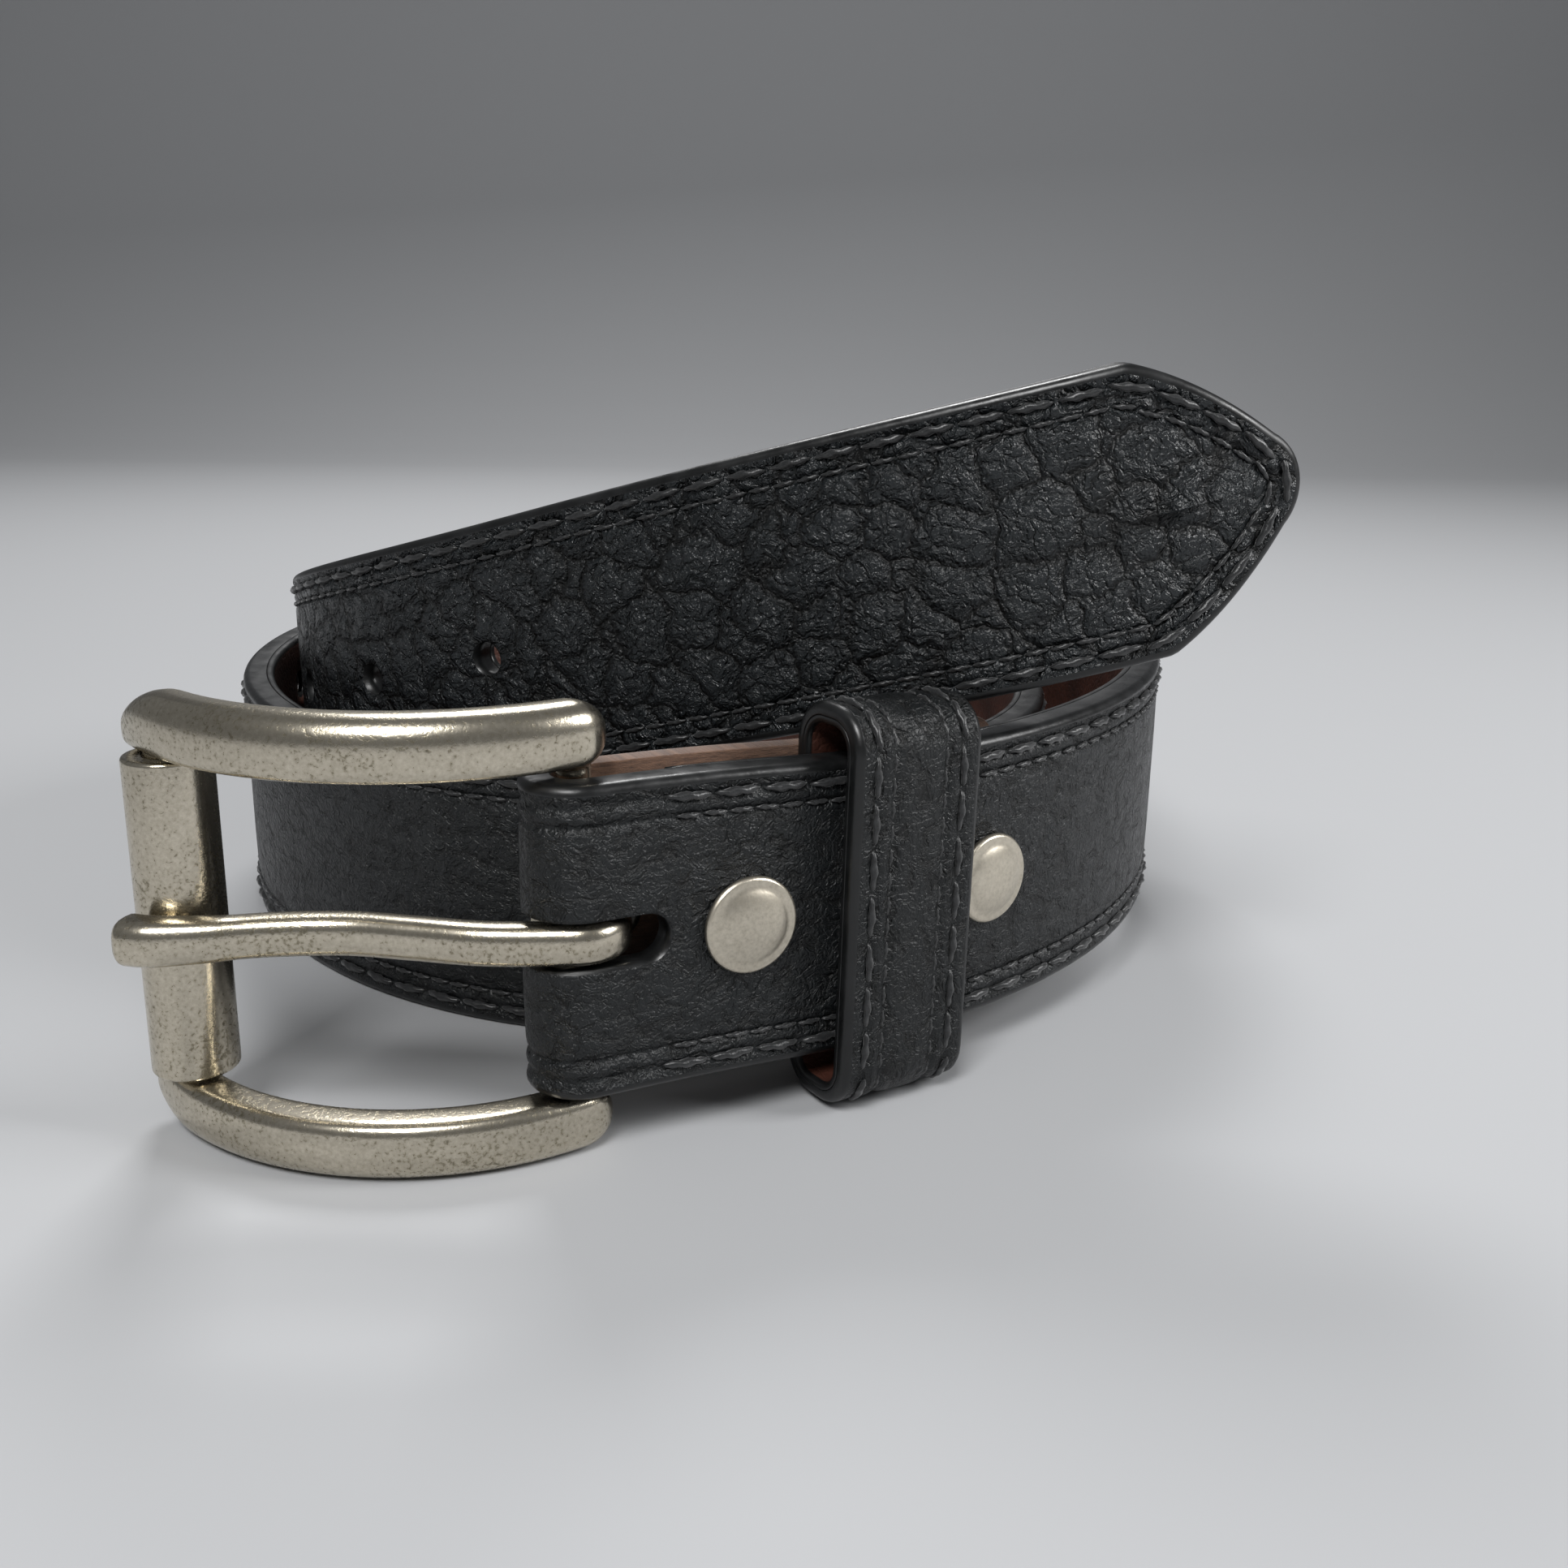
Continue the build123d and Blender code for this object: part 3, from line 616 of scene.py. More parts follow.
def lining_strip(mats):
    """Thin lining glued behind the front layer."""
    flat = [(inset, 0.0) for inset, depth in MIDDLE + [(7.5, 0.0), (3.5, 0.0)]]
    half = ring_half(BEVELS["lining"], LINING_THICK - GLUE_LINE, flat)
    rows = tail_rows(LINING_START, TOP_THICK + GLUE_LINE)
    return leather_strip("calf_lining", rows, half, mats, caps=(True, False))


def cylinder_points(centre, axis, side, radius, low, high, sides=40):
    """Ring points of a capped cylinder along axis, low to high."""
    other = axis.cross(side)
    turns = [2 * math.pi * i / sides for i in range(sides)]
    return [
        [centre + axis * height + (side * math.cos(t) + other * math.sin(t)) * radius for t in turns]
        for height in (low, high)
    ]


def wall_faces(rows, sides):
    """Quads between rows of points, each row a closed ring."""
    faces = []
    for r in range(rows - 1):
        for i in range(sides):
            nxt = (i + 1) % sides
            faces.append((r * sides + i, r * sides + nxt, (r + 1) * sides + nxt, (r + 1) * sides + i))
    return faces


def prism(rings):
    """Vertices and faces of a closed prism through matching rings."""
    sides = len(rings[0])
    verts = [point for ring in rings for point in ring]
    faces = wall_faces(len(rings), sides)
    faces.append(tuple(reversed(range(sides))))
    faces.append(tuple(range((len(rings) - 1) * sides, len(rings) * sides)))
    return verts, faces


def hole_cutter(mats):
    """One cutter with a round punch at each adjustment hole."""
    verts, faces = [], []
    for station in HOLE_STATIONS:
        point, along, up, out = strap_frame(station)
        ring_verts, ring_faces = prism(cylinder_points(point, out, along, HOLE_RADIUS, *PUNCH_REACH))
        base = len(verts)
        verts += ring_verts
        faces += [tuple(base + v for v in face) for face in ring_faces]
    return weld_and_turn_out(mesh_object("punch", verts, faces, mats))


def slot_cutter(mats):
    """Round-ended slot for the prong, through the turn and both layers beside it."""
    point, along, up, out = strap_frame(FOLD_STATION)
    centre = point - out * FOLD_OUTER
    radius = SLOT_WIDTH / 2
    flat = [(-12.0, radius), (-12.0, -radius)]
    for i in range(17):
        turn = -math.pi / 2 + math.pi * i / 16
        flat.append((SLOT_REACH - radius + radius * math.cos(turn), radius * math.sin(turn)))
    rings = [[centre + along * a + up * b + out * height for a, b in flat] for height in (-8.0, 8.0)]
    verts, faces = prism(rings)
    return weld_and_turn_out(mesh_object("slot_punch", verts, faces, mats))


# ------------------------------------------------------------------ stitches
def stitch_mesh(name, length, radius, turns, material):
    """One visible stitch of twisted thread, along X with Z outwards, its ends diving in."""
    sides, rings = 8, 15
    verts = []
    for r in range(rings):
        share = r / (rings - 1)
        x = (share - 0.5) * length
        bulge = math.sin(math.pi * share) ** 0.45
        lift = radius * 0.75 * math.sin(math.pi * share) ** 0.6 - radius * 0.55
        for k in range(sides):
            angle = 2 * math.pi * k / sides
            strand = 1 + 0.22 * math.cos(2 * (angle - 2 * math.pi * turns * share))
            size = max(radius * bulge * strand, radius * 0.12)
            verts.append((x, math.cos(angle) * size, lift + math.sin(angle) * size))
    faces = wall_faces(rings, sides)
    faces.append(tuple(reversed(range(sides))))
    faces.append(tuple((rings - 1) * sides + k for k in range(sides)))
    return mesh_object(name, verts, faces, [material])


def stitch_tree(material):
    """Geometry Nodes: one stitch at each pitch along a seam line, laid along it and facing out."""
    tree = bpy.data.node_groups.new("seam_stitches", "GeometryNodeTree")
    face = tree.interface
    face.new_socket(name="Geometry", in_out="INPUT", socket_type="NodeSocketGeometry")
    for label, default in (("Pitch", 0.0063), ("Wobble", 0.05)):
        socket = face.new_socket(name=label, in_out="INPUT", socket_type="NodeSocketFloat")
        socket.default_value = default
    face.new_socket(name="Stitch", in_out="INPUT", socket_type="NodeSocketObject")
    face.new_socket(name="Seed", in_out="INPUT", socket_type="NodeSocketInt").default_value = 7
    face.new_socket(name="Geometry", in_out="OUTPUT", socket_type="NodeSocketGeometry")
    entry = tree.nodes.new("NodeGroupInput").outputs
    line = node(tree, "GeometryNodeMeshToCurve", Mesh=entry["Geometry"]).outputs[0]
    dots = node(tree, "GeometryNodeResampleCurve", {"mode": "LENGTH"}, Curve=line, Length=entry["Pitch"])
    tangent = node(tree, "GeometryNodeInputTangent").outputs[0]
    facing = node(
        tree, "GeometryNodeInputNamedAttribute", {"data_type": "FLOAT_VECTOR"}, Name="facing"
    ).outputs[0]
    sway = node(
        tree, "FunctionNodeRandomValue", {"data_type": "FLOAT_VECTOR"}, i0=(-1.0, -1.0, -1.0),
        i1=(1.0, 1.0, 1.0), Seed=entry["Seed"],
    ).outputs[0]
    scaled = {"operation": "SCALE"}
    small = node(tree, "ShaderNodeVectorMath", scaled, i0=sway, Scale=entry["Wobble"]).outputs[0]
    heading = node(tree, "ShaderNodeVectorMath", {"operation": "ADD"}, i0=tangent, i1=small).outputs[0]
    first = node(tree, "FunctionNodeAlignRotationToVector", {"axis": "X"}, Vector=heading).outputs[0]
    second = node(
        tree, "FunctionNodeAlignRotationToVector", {"axis": "Z", "pivot_axis": "X"},
        Rotation=first, Vector=facing,
    ).outputs[0]
    source = node(tree, "GeometryNodeObjectInfo", Object=entry["Stitch"]).outputs["Geometry"]
    copies = node(
        tree, "GeometryNodeInstanceOnPoints", Points=dots.outputs[0], Instance=source, Rotation=second
    ).outputs[0]
    solid = node(tree, "GeometryNodeRealizeInstances", Geometry=copies).outputs[0]
    painted = node(tree, "GeometryNodeSetMaterial", Geometry=solid, Material=material).outputs[0]
    node(tree, "NodeGroupOutput", Geometry=painted)
    return tree


def sew(name, lines, pitch, stitch, tree, seed):
    """Stitches along lines of (point, facing) pairs in mm, turned into one plain mesh."""
    verts, edges, facings = [], [], []
    for line in lines:
        base = len(verts)
        verts += [tuple(c * MM for c in point) for point, facing in line]
        facings += [component for point, facing in line for component in facing]
        edges += [(base + i, base + i + 1) for i in range(len(line) - 1)]
    mesh = bpy.data.meshes.new(name)
    mesh.from_pydata(verts, edges, [])
    mesh.attributes.new("facing", "FLOAT_VECTOR", "POINT").data.foreach_set("vector", facings)
    obj = link_object(name, mesh)
    change = obj.modifiers.new("stitches", "NODES")
    change.node_group = tree
    values = {"Pitch": pitch * MM, "Stitch": stitch, "Seed": seed}
    for item in tree.interface.items_tree:
        if item.in_out == "INPUT" and item.name in values:
            change[item.identifier] = values[item.name]
    bake(obj)
    obj.data.polygons.foreach_set("use_smooth", [True] * len(obj.data.polygons))
    return obj


def seam_line(inset, sink):
    """Both edge rows joined round the tail's nose, from beside the turn and back to it."""
    upper = []
    for distance in tail_distances(LINING_START + 1.0, 3.0):
        near = max(0.0, 1 - distance / END_ZONE)
        station = STRAP_LENGTH - distance
        across = strap_outline(distance + inset * near, inset)
        point, along, up, out = strap_frame(station)
        upper.append((point - along * inset * near, up, across, out))
    line = [(base + up * across - out * sink, out) for base, up, across, out in upper]
    line += [(base - up * across - out * sink, out) for base, up, across, out in reversed(upper[:-1])]
    return line


# ------------------------------------------------------------------ keeper
KEEPER_GROOVES = [  # (inset, depth) across the keeper's face
    (9.3, 0.0), (8.2, 0.0), (7.2, 0.04), (6.3, 0.14), (5.95, 0.3), (5.6, 0.52), (5.25, 0.32), (4.85, 0.1),
    (4.3, 0.0), (3.75, 0.1), (3.35, 0.3), (3.0, 0.5), (2.65, 0.3), (2.2, 0.1), (1.6, 0.02),
]


def keeper_loop(depth):
    """Places round the keeper's loop at a depth inside its face: (point, out) pairs, and its axis."""
    low, high = (Vector(corner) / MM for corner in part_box("keeper_leather"))
    point, along, up, out = strap_frame(KEEPER_STATION)
    tilt_allowance = 0.23  # the slanted loop's box is this much taller than the loop
    tall = (high.z - low.z) / 2 - tilt_allowance
    centre = point + up * KEEPER_LIFT + out * ((KEEPER_FRONT - KEEPER_REAR) / 2)
    deep = (KEEPER_FRONT + KEEPER_REAR) / 2
    steps = 8
    loop = []
    for quarter, (sx, sy) in enumerate(((1, 1), (-1, 1), (-1, -1), (1, -1))):
        middle = centre + up * sx * (tall - KEEPER_CORNER) + out * sy * (deep - KEEPER_CORNER)
        for i in range(steps + 1):
            turn = math.pi / 2 * (quarter + i / steps)
            facing = up * math.cos(turn) + out * math.sin(turn)
            loop.append((middle + facing * (KEEPER_CORNER - depth), facing))
    return fill_loop(loop, 1.6), along


def fill_loop(loop, step):
    """Adds points on the loop's straight stretches."""
    filled = []
    for (here, facing), (there, other) in zip(loop, loop[1:] + loop[:1]):
        count = max(1, round((there - here).length / step))
        for i in range(count):
            share = i / count
            filled.append((here.lerp(there, share), facing.lerp(other, share).normalized()))
    return filled


def keeper_strip(name, depth0, thick, rounding, columns, mats):
    """One layer of the keeper, its width along the strap."""
    spots, along = keeper_loop(depth0)
    rows, run = [], KEEPER_STATIONS_FROM
    for index, (spot, facing) in enumerate(spots):
        domed = KEEPER_CROWN if depth0 == 0 and facing.y < -0.5 else 0.0

        def place(across, depth, back, spot=spot, facing=facing, domed=domed):
            crown = domed * (1 - (across / KEEPER_HALF_LENGTH) ** 2) if depth < 1 else 0.0
            return spot + along * across - facing * (depth - crown)

        rows.append((place, run, 2 * END_ZONE, lambda distance, inset: KEEPER_HALF_LENGTH - inset))
        run += (spots[(index + 1) % len(spots)][0] - spot).length
    half = ring_half(rounding, thick, columns)
    return leather_strip(name, rows, half, mats, closed=True)


def keeper_seams(inset, sink):
    """Two closed rows round the keeper, as open lines that meet behind."""
    spots, along = keeper_loop(sink)
    behind = len(spots) * 5 // 8
    spots = spots[behind:] + spots[:behind]
    reach = KEEPER_HALF_LENGTH - inset
    return [[(spot + along * side * reach, facing) for spot, facing in spots] for side in (-1, 1)]


# ------------------------------------------------------------------ metal shapes
def lathe(name, origin, axis, side, outline, mats, sides=64):
    """Turned shape from (radius, height) points; the outline is open or closes on the axis."""
    other = axis.cross(side)
    verts = []
    for radius, height in outline:
        for i in range(sides):
            angle = 2 * math.pi * i / sides
            spoke = side * math.cos(angle) + other * math.sin(angle)
            verts.append(origin + axis * height + spoke * max(radius, 0.0))
    faces = wall_faces(len(outline), sides)
    return weld_and_turn_out(mesh_object(name, verts, faces, mats), 0.000004)


def arc_points(centre, radius, start, end, count):
    """Points (a, b) on an arc, angles in degrees."""
    points = []
    for i in range(count + 1):
        angle = math.radians(start + (end - start) * i / count)
        points.append((centre[0] + radius * math.cos(angle), centre[1] + radius * math.sin(angle)))
    return points


def snap_cap(name, station, mats):
    """Stamped cap of a press fastener: a shallow dome with a rolled rim."""
    point, along, up, out = strap_frame(station)
    outline = [(0.0, 1.95), (1.2, 1.93), (2.4, 1.83), (3.5, 1.62), (4.4, 1.33), (5.1, 0.98)]
    outline += arc_points((5.45, 0.5), 0.6, 75, -40, 8) + [(5.6, 0.0), (0.0, 0.0)]
    return lathe(name, point, out, along, outline, mats)


def sweep(name, sections, mats):
    """Closed tube through rings of points, with flat ends."""
    verts, faces = prism(sections)
    return weld_and_turn_out(mesh_object(name, verts, faces, mats))


def buckle_space():
    """Heel-bar foot and the buckle's own directions: reach, front, up."""
    heel = next(joint for joint in frame["joints"] if joint["name"] == "buckle_pivot")["pos_m"]
    reach = Vector((math.cos(BUCKLE_HEADING), math.sin(BUCKLE_HEADING), 0))
    up = Vector((0, 0, 1))
    return Vector((heel[0] / MM, heel[1] / MM, 0)), reach, up.cross(reach), up


def bent(value, power):
    """Power of a value that keeps its sign, for squarer or rounder sections."""
    return math.copysign(abs(value) ** power, value)


def round_off(overrun, length, least):
    """Falls from 1 to a least value over a rounded end, as a quarter ellipse."""
    return math.sqrt(max(1 - (max(overrun, 0) / length) ** 2, least))


def bar_section(outer_up, swell, ease):
    """Bar section as (forward, up) shares: flat towards the window and round outside."""
    front_share, back_share = 0.6, 0.4
    ring = []
    for i in range(32):
        turn = 2 * math.pi * i / 32
        c, s = math.cos(turn), math.sin(turn)
        inner = (s < 0) == outer_up
        forward = bent(c, 0.42 if inner else 0.9) * front_share if c > 0 else bent(c, 0.35) * back_share
        ring.append((forward * swell * ease, bent(s, 0.5 if inner else 0.85) * swell))
    return ring


def side_bar(name, bottom, outer_up, mats):
    """Arched D-section bar: a round near nose and a far end that turns down to the roller."""
    foot, reach, front, up = buckle_space()
    first, last, corner = BAR_NEAR_END, BAR_FAR_END, BAR_OUTER_CORNER
    nose_length, end_round = 3.2, 1.6
    middle = BAR_ARC_RADIUS + BAR_DEPTH * 0.4
    centre = foot + reach * BAR_ARC_MIDDLE + front * (BAR_ARC_RISE - BAR_ARC_RADIUS)
    near = [first + offset for offset in (0.03, 0.25, 0.7, 1.3, 2.1)]
    far = [last - offset for offset in (2.2, 1.4, 0.8, 0.4, 0.15, 0.03)]
    sections = []
    for x in near + spaced(first + 3.0, last - 3.0, 1.1) + far:
        turn = math.acos((x - BAR_ARC_MIDDLE) / middle)
        spoke = reach * math.cos(turn) + front * math.sin(turn)
        swell = round_off(first + nose_length - x, nose_length, 0.02)
        ease = round_off(x - last + end_round, end_round, 0.1)
        rise = corner - math.sqrt(max(corner**2 - max(x - last + corner, 0) ** 2, 0))
        low, high = (0.0, BAR_HEIGHT - rise) if outer_up else (rise, BAR_HEIGHT)
        level = centre + up * (bottom + (low + high) / 2)
        sections.append([
            level + spoke * (middle + forward * BAR_DEPTH) + up * (lift * (high - low) / 2)
            for forward, lift in bar_section(outer_up, swell, ease)
        ])
    return sweep(name, sections, mats)


def cast_frame(mats):
    """Side bars and heel bar joined and softened as a tumbled casting."""
    foot, reach, front, up = buckle_space()
    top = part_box("buckle_frame")[1][2] / MM
    lower = side_bar("cast_buckle_frame", 0.0, False, mats)
    upper = side_bar("upper_bar", top - BAR_HEIGHT, True, mats)
    heel_radius, seated = 2.05, 3.0
    bar = sweep("heel_bar", cylinder_points(foot, up, reach, heel_radius, seated, top - seated), mats)
    bpy.context.view_layer.update()
    work = bmesh.new()
    for piece in (lower, upper, bar):
        work.from_mesh(piece.data)
    work.to_mesh(lower.data)
    work.free()
    for piece in (upper, bar):
        bpy.data.objects.remove(piece, do_unlink=True)
    blend = lower.modifiers.new("cast", "REMESH")
    blend.mode = "VOXEL"
    blend.voxel_size = 0.00034
    soften = lower.modifiers.new("tumbled", "SMOOTH")
    soften.factor = 0.5
    soften.iterations = 7
    bake(lower)
    lower.data.polygons.foreach_set("use_smooth", [True] * len(lower.data.polygons))
    return lower


def roller_tube(mats):
    """Drawn tube that turns on its axle, with eased rims."""
    foot, reach, front, up = buckle_space()
    low, high = (corner[2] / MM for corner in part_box("roller"))
    radius, rim, bore, chamfer = 5.1, 0.45, 2.7, 0.3
    mouth = bore + 0.2
    outline = [(bore, low + chamfer), (mouth, low)] + arc_points((radius - rim, low + rim), rim, -90, 0, 6)
    outline += arc_points((radius - rim, high - rim), rim, 0, 90, 6) + [(mouth, high), (bore, high - chamfer)]
    outline.append((bore, low + chamfer))
    return lathe("roller_tube", foot + reach * ROLLER_DISTANCE, up, reach, outline, mats)


# (distance from the heel bar, distance in front of it) along the middle of the prong
PRONG_KNOTS = [
    (0.0, 4.3), (9.4, 5.2), (17.8, 4.3), (25.8, 3.5), (34.0, 4.6), (41.0, 6.6), (46.9, 7.6), (49.8, 7.3),
]
TIP_STEPS = ((0.95, 0.35), (0.84, 0.7), (0.66, 0.9))  # (shrink, push forward) of the rounded end


def prong_line():
    """Middle of the prong as (x, y, thick, wide): the loop, then the shank that grows to the tip."""
    loop = PRONG_KNOTS[0][1]
    line = []
    for angle in spaced(-250.0, 0.0, 12.0):
        turn = math.radians(90 - angle)
        line.append((loop * math.cos(turn), loop * math.sin(turn), PRONG_THICK, PRONG_WIDE))
    saddle_start, saddle_length = 38.0, 9.0
    for x, y in curve_through(PRONG_KNOTS, 9)[1:]:
        grow = min(max((x - saddle_start) / saddle_length, 0.0), 1.0)
        line.append((x, y + 0.35 * grow, PRONG_THICK + 0.9 * grow, PRONG_WIDE + 0.7 * grow))
    return line


def prong_bar(mats):
    """Bent prong: a loop round the heel bar, a waved shank and a heavy saddle tip."""
    foot, reach, front, up = buckle_space()
    middle = foot + up * PRONG_HEIGHT
    squareness = 0.72
    line = prong_line()
    sections = []
    for i, (x, y, thick, wide) in enumerate(line):
        before, after = line[max(i - 1, 0)], line[min(i + 1, len(line) - 1)]
        step = Vector((after[0] - before[0], after[1] - before[1])).normalized()
        across = reach * -step.y + front * step.x
        centre = middle + reach * x + front * y
        turns = [2 * math.pi * k / 24 for k in range(24)]
        sections.append([
            centre + across * (bent(math.cos(t), squareness) * thick / 2)
            + up * (bent(math.sin(t), squareness) * wide / 2)
            for t in turns
        ])
    tip = sections[-1]
    centre = sum(tip, Vector()) / len(tip)
    forward = (tip[0] - sections[-2][0]).normalized()
    for shrink, push in TIP_STEPS:
        sections.append([centre + (spot - centre) * shrink + forward * push for spot in tip])
    return sweep("waved_prong", sections, mats)


def curve_through(knots, per_span):
    """Smooth points through given knots (a Catmull-Rom curve)."""
    points = []
    padded = [knots[0]] + knots + [knots[-1]]
    for a, b, c, d in zip(padded, padded[1:], padded[2:], padded[3:]):
        for i in range(per_span):
            t = i / per_span
            spot = []
            for p, q, r, s in zip(a, b, c, d):
                square, cube = 2 * p - 5 * q + 4 * r - s, 3 * q - p - 3 * r + s
                spot.append(0.5 * (2 * q + (r - p) * t + square * t * t + cube * t**3))
            points.append(tuple(spot))
    return points + [knots[-1]]


# ------------------------------------------------------------------ settings
LIGHTS = (  # (name, place in metres, size, share of the key light's power)
    ("key_light", (-0.12, -0.6, 0.7), 0.3, 1.3),
    ("side_light", (0.75, -0.15, 0.45), 0.3, 1.0),
    ("back_light", (-0.1, 0.65, 0.8), 0.35, 1.3),
)


class BeltSettings(bpy.types.PropertyGroup):
    """Sizes and colours that a user of the belt would change."""

    outer_pitch: bpy.props.FloatProperty(
        name="Outer stitch pitch", description="Length of one thick stitch near the edge",
        default=0.0063, unit="LENGTH",
    )
    inner_pitch: bpy.props.FloatProperty(
        name="Inner stitch pitch", description="Length of one fine stitch in the inner groove",
        default=0.0034, unit="LENGTH",
    )
    keeper_outer_pitch: bpy.props.FloatProperty(
        name="Keeper thick pitch", description="Length of one thick stitch on the keeper",
        default=0.0058, unit="LENGTH",
    )
    keeper_inner_pitch: bpy.props.FloatProperty(
        name="Keeper fine pitch", description="Length of one fine stitch on the keeper",
        default=0.0029, unit="LENGTH",
    )
    hide_color: bpy.props.StringProperty(
        name="Hide colour", description="sRGB hex value of the dyed hide", default="101213",
    )
    metal_color: bpy.props.StringProperty(
        name="Metal colour", description="sRGB hex value of the rubbed nickel", default="D0C8B7",
    )
    camera_height: bpy.props.FloatProperty(
        name="Camera height", description="Height of the lens above the floor",
        default=0.094, unit="LENGTH",
    )
    key_power: bpy.props.FloatProperty(
        name="Key light", description="Power of the large soft light", default=5.0, unit="POWER",
    )


def settings():
    """The scene's belt settings."""
    return bpy.context.scene.belt_settings


# ------------------------------------------------------------------ operators
class BELT_OT_strap(bpy.types.Operator):
    """Build the grain leather strap and its lining"""

    bl_idname = "belt.strap"
    bl_label = "Strap and lining"

    def execute(self, context):
        mats = make_materials(settings())
        strap = top_leather([mats["grain"], mats["edge"], mats["flesh"]])
        cut(strap, slot_cutter([mats["edge"]]))
        cut(strap, hole_cutter([mats["edge"]]))
        lining = lining_strip([mats["lining"], mats["edge"], mats["lining"]])
        cut(lining, hole_cutter([mats["edge"]]))
        for piece, part, finish in (
            (strap, "strap_top_leather", "grain_leather"), (lining, "strap_lining", "lining_leather"),
        ):
            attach(piece, "strap")
            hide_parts(part)
        return {"FINISHED"}


class BELT_OT_seams(bpy.types.Operator):
    """Sew the strap's and the keeper's rows of stitches"""

    bl_idname = "belt.seams"
    bl_label = "Seams"

    def execute(self, context):
        mats = make_materials(settings())
        sizes = settings()
        tree = stitch_tree(mats["thread"])
        outer, inner = [seam_line(OUTER_ROW, 0.1)], [seam_line(INNER_ROW, 0.2)]
        rims, mids = keeper_seams(KEEPER_OUTER_ROW, 0.08), keeper_seams(KEEPER_INNER_ROW, 0.3)
        rows = (  # (name, pitch, thread radius, lines, body, CAD node)
            ("thick_stitches", sizes.outer_pitch, 0.52, outer, "strap", "outer_seam_thread"),
            ("fine_stitches", sizes.inner_pitch, 0.3, inner, "strap", "inner_seam_thread"),
            ("keeper_thick_stitches", sizes.keeper_outer_pitch, 0.46, rims, "keeper", "keeper_outer_seams"),
            ("keeper_fine_stitches", sizes.keeper_inner_pitch, 0.27, mids, "keeper", "keeper_inner_seams"),
        )
        stitch_share, twists = 0.92, 1.25
        for seed, (name, pitch_m, radius, lines, body, part) in enumerate(rows, 3):
            pitch = pitch_m / MM
            stitch = stitch_mesh(name + "_unit", pitch * stitch_share, radius, twists, mats["thread"])
            piece = sew(name, lines, pitch, stitch, tree, seed)
            bpy.data.objects.remove(stitch, do_unlink=True)
            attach(piece, body)
            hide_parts(part)
        bpy.data.node_groups.remove(tree)
        return {"FINISHED"}


class BELT_OT_keeper(bpy.types.Operator):
    """Build the keeper's leather and lining"""

    bl_idname = "belt.keeper"
    bl_label = "Keeper"

    def execute(self, context):
        mats = make_materials(settings())
        leather, lining = 1.7, 1.0
        face = keeper_strip(
            "keeper_loop_leather", 0.0, leather, BEVELS["keeper"], KEEPER_GROOVES,
            [mats["grain"], mats["edge"], mats["flesh"]],
        )
        back = keeper_strip(
            "keeper_loop_lining", leather + GLUE_LINE, lining - GLUE_LINE, BEVELS["keeper_lining"],
            [(8.6, 0.0), (5.0, 0.0), (2.0, 0.0)], [mats["lining"], mats["edge"], mats["lining"]],
        )
        for piece, part, finish in (
            (face, "keeper_leather", "grain_leather"), (back, "keeper_lining", "lining_leather"),
        ):
            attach(piece, "keeper")
            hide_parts(part)
        return {"FINISHED"}


class BELT_OT_snaps(bpy.types.Operator):
    """Build the press fasteners' caps and finish their hidden parts"""

    bl_idname = "belt.snaps"
    bl_label = "Press fasteners"

    def execute(self, context):
        mats = make_materials(settings())
        for which, station in SNAP_STATIONS.items():
            cap = snap_cap(which + "_stamped_cap", station, [mats["cap"]])
            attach(cap, "strap")
            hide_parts(which + "_snap_cap")
        for name, part in frame["nodes"].items():
            if "snap" in name or name in ("keeper_staple", "roller_axle"):
                finish = mats["nickel"] if name == "roller_axle" else mats["cap"]
                for place in part.material_slots:
                    place.material = finish
        return {"FINISHED"}


class BELT_OT_buckle(bpy.types.Operator):
    """Build the cast frame, the roller and the prong"""

    bl_idname = "belt.buckle"
    bl_label = "Buckle"

    def execute(self, context):
        mats = make_materials(settings())
        for piece, body, part in (
            (cast_frame([mats["nickel"]]), "buckle", "buckle_frame"),
            (roller_tube([mats["nickel"]]), "roller", "roller"),
            (prong_bar([mats["nickel"]]), "prong", "prong"),
        ):
            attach(piece, body)
            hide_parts(part)
        return {"FINISHED"}


class BELT_OT_stage(bpy.types.Operator):
    """Set the floor, the lights and the camera"""

    bl_idname = "belt.stage"
    bl_label = "Stage"

    def execute(self, context):
        mats = make_materials(settings())
        half, near, far, bend, tall = 1500.0, -1200.0, 1400.0, 500.0, 1600.0
        rows = [(near, 0.0), (far - bend, 0.0)]
        for i in range(1, 13):
            turn = math.pi / 24 * i
            rows.append((far - bend + bend * math.sin(turn), bend - bend * math.cos(turn)))
        rows.append((far, tall))
        verts = [(side * half, y, z) for y, z in rows for side in (-1, 1)]
        faces = [(2 * i, 2 * i + 1, 2 * i + 3, 2 * i + 2) for i in range(len(rows) - 1)]
        mesh_object("studio_floor", verts, faces, [mats["floor"]])
        add_camera(settings().camera_height)
        for name, place, size, share in LIGHTS:
            add_light(name, place, size, settings().key_power * share)
        world = bpy.data.worlds.new("studio_air")
        world.use_nodes = True
        world.node_tree.nodes["Background"].inputs[0].default_value = srgb("E9EBEE")
        world.node_tree.nodes["Background"].inputs[1].default_value = 0.2
        context.scene.world = world
        context.scene.view_settings.view_transform = "Standard"
        return {"FINISHED"}


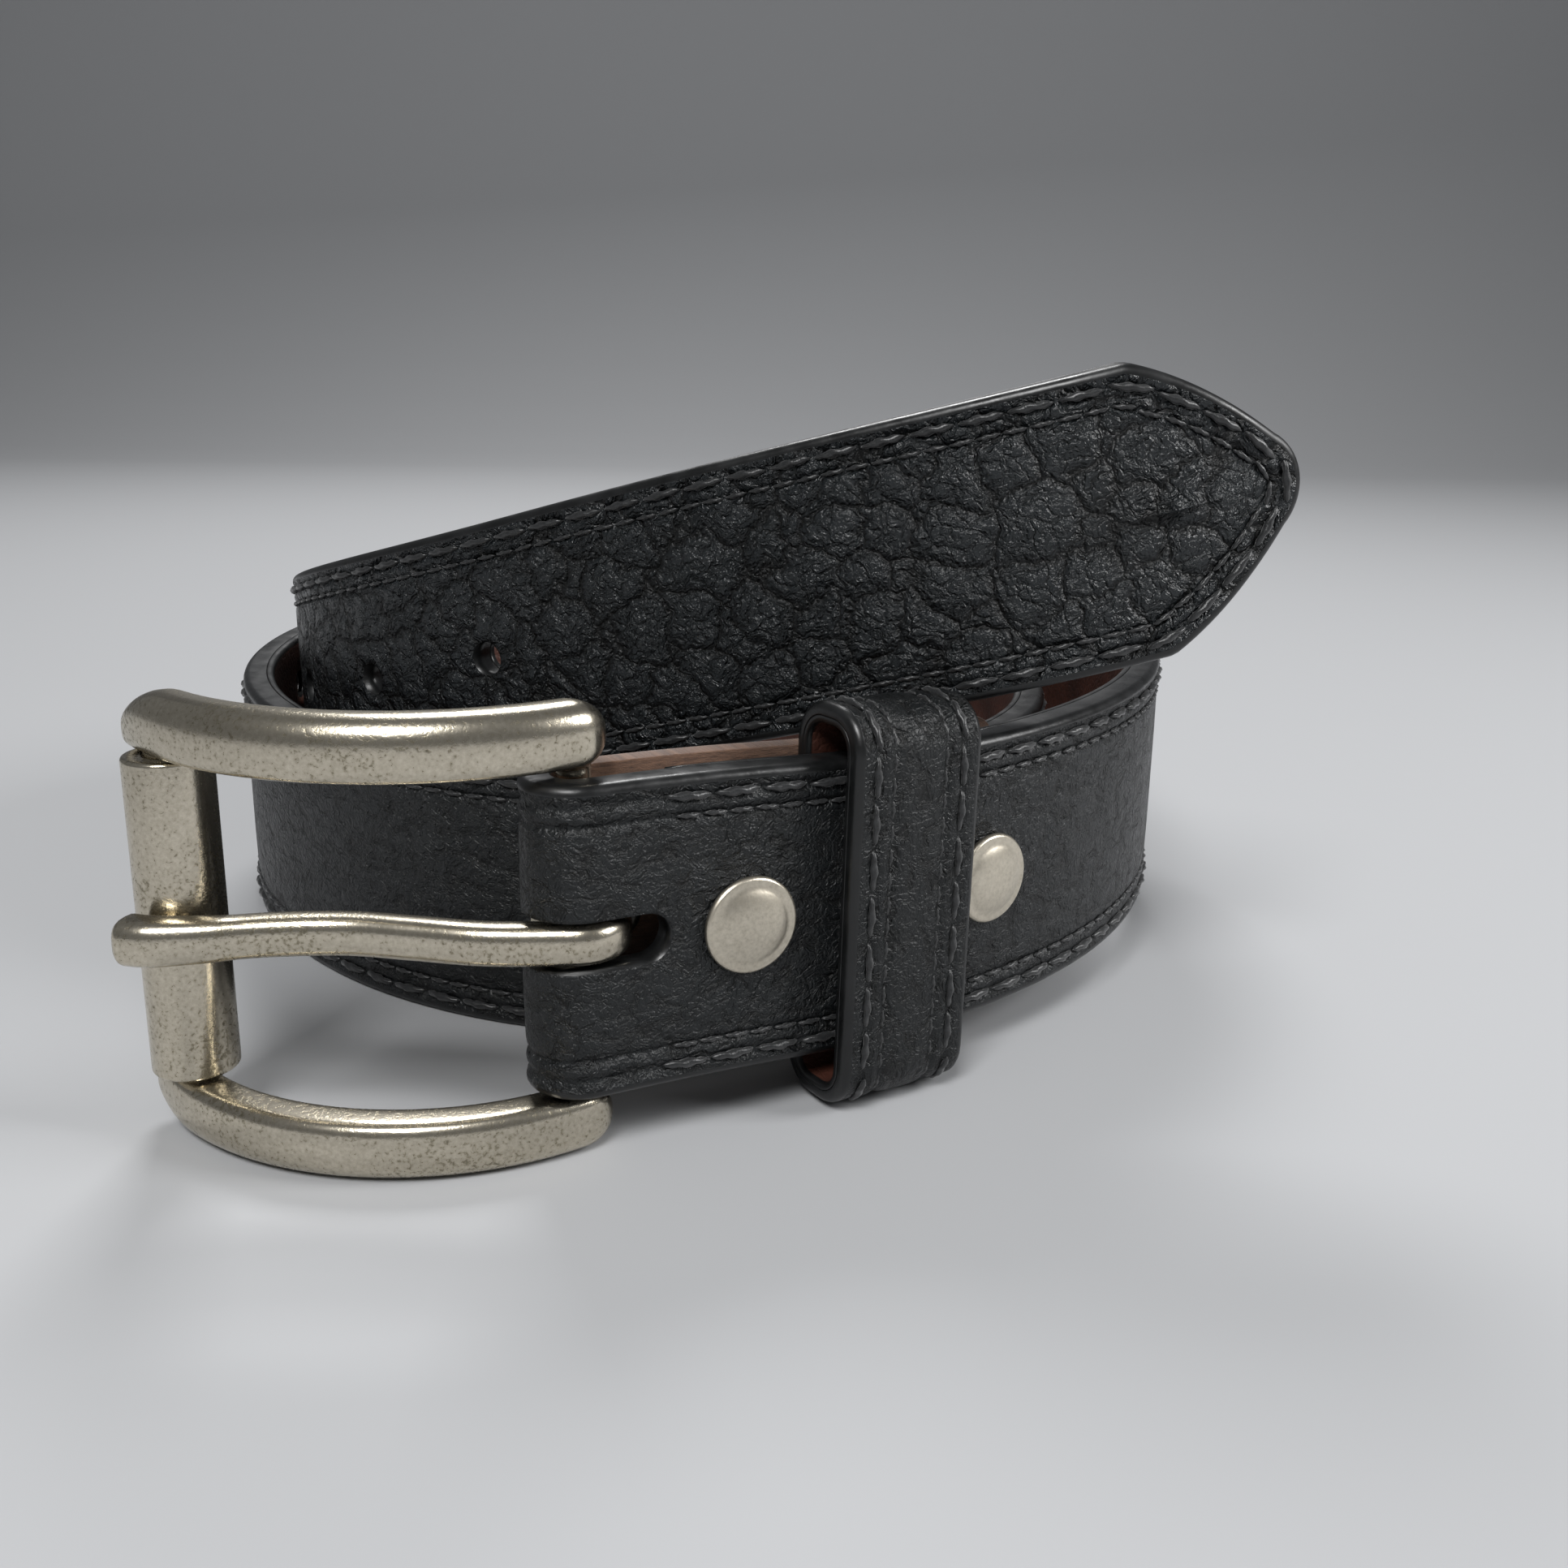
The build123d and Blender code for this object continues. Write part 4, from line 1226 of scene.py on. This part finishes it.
def add_camera(height):
    """Camera low in front of the buckle, pitched down, with a slight roll."""
    pitch, roll = math.radians(16.0), math.radians(0.8)
    data = bpy.data.cameras.new("belt_camera")
    data.lens = 36.09
    data.sensor_width = 36.0
    data.clip_start = 0.01
    camera = bpy.data.objects.new("belt_camera", data)
    bpy.context.scene.collection.objects.link(camera)
    forward = Vector((0, math.cos(pitch), -math.sin(pitch)))
    level, upward = Vector((1, 0, 0)), Vector((0, math.sin(pitch), math.cos(pitch)))
    right = level * math.cos(roll) + upward * math.sin(roll)
    top = upward * math.cos(roll) - level * math.sin(roll)
    turn = Matrix((right, top, -forward)).transposed().to_4x4()
    camera.matrix_world = Matrix.Translation((0.014094, -0.254747, height)) @ turn
    bpy.context.scene.camera = camera


def add_light(name, place, size, power):
    """Soft square light aimed at the belt."""
    data = bpy.data.lights.new(name, "AREA")
    data.size = size
    data.energy = power
    light = bpy.data.objects.new(name, data)
    light.location = place
    aim = Vector((0, -0.02, 0.03)) - Vector(place)
    light.rotation_euler = aim.to_track_quat("-Z", "Y").to_euler()
    bpy.context.scene.collection.objects.link(light)


OPERATORS = (BELT_OT_strap, BELT_OT_seams, BELT_OT_keeper, BELT_OT_snaps, BELT_OT_buckle, BELT_OT_stage)


class BELT_PT_panel(bpy.types.Panel):
    """Sidebar panel that lists the belt's pieces"""

    bl_idname = "BELT_PT_panel"
    bl_label = "Leather belt"
    bl_space_type = "VIEW_3D"
    bl_region_type = "UI"
    bl_category = "Belt"

    def draw(self, context):
        for name in BeltSettings.__annotations__:
            self.layout.prop(context.scene.belt_settings, name)
        for operator in OPERATORS:
            self.layout.operator(operator.bl_idname)


CLASSES = (BeltSettings, BELT_PT_panel) + OPERATORS


def register():
    for item in CLASSES:
        bpy.utils.register_class(item)
    bpy.types.Scene.belt_settings = bpy.props.PointerProperty(type=BeltSettings)


def unregister():
    del bpy.types.Scene.belt_settings
    for item in reversed(CLASSES):
        bpy.utils.unregister_class(item)


def main():
    """Registers the add-on and builds every piece."""
    register()
    bpy.ops.belt.stage()
    bpy.ops.belt.strap()
    bpy.ops.belt.keeper()
    bpy.ops.belt.seams()
    bpy.ops.belt.snaps()
    bpy.ops.belt.buckle()


if __name__ == "__main__":
    main()
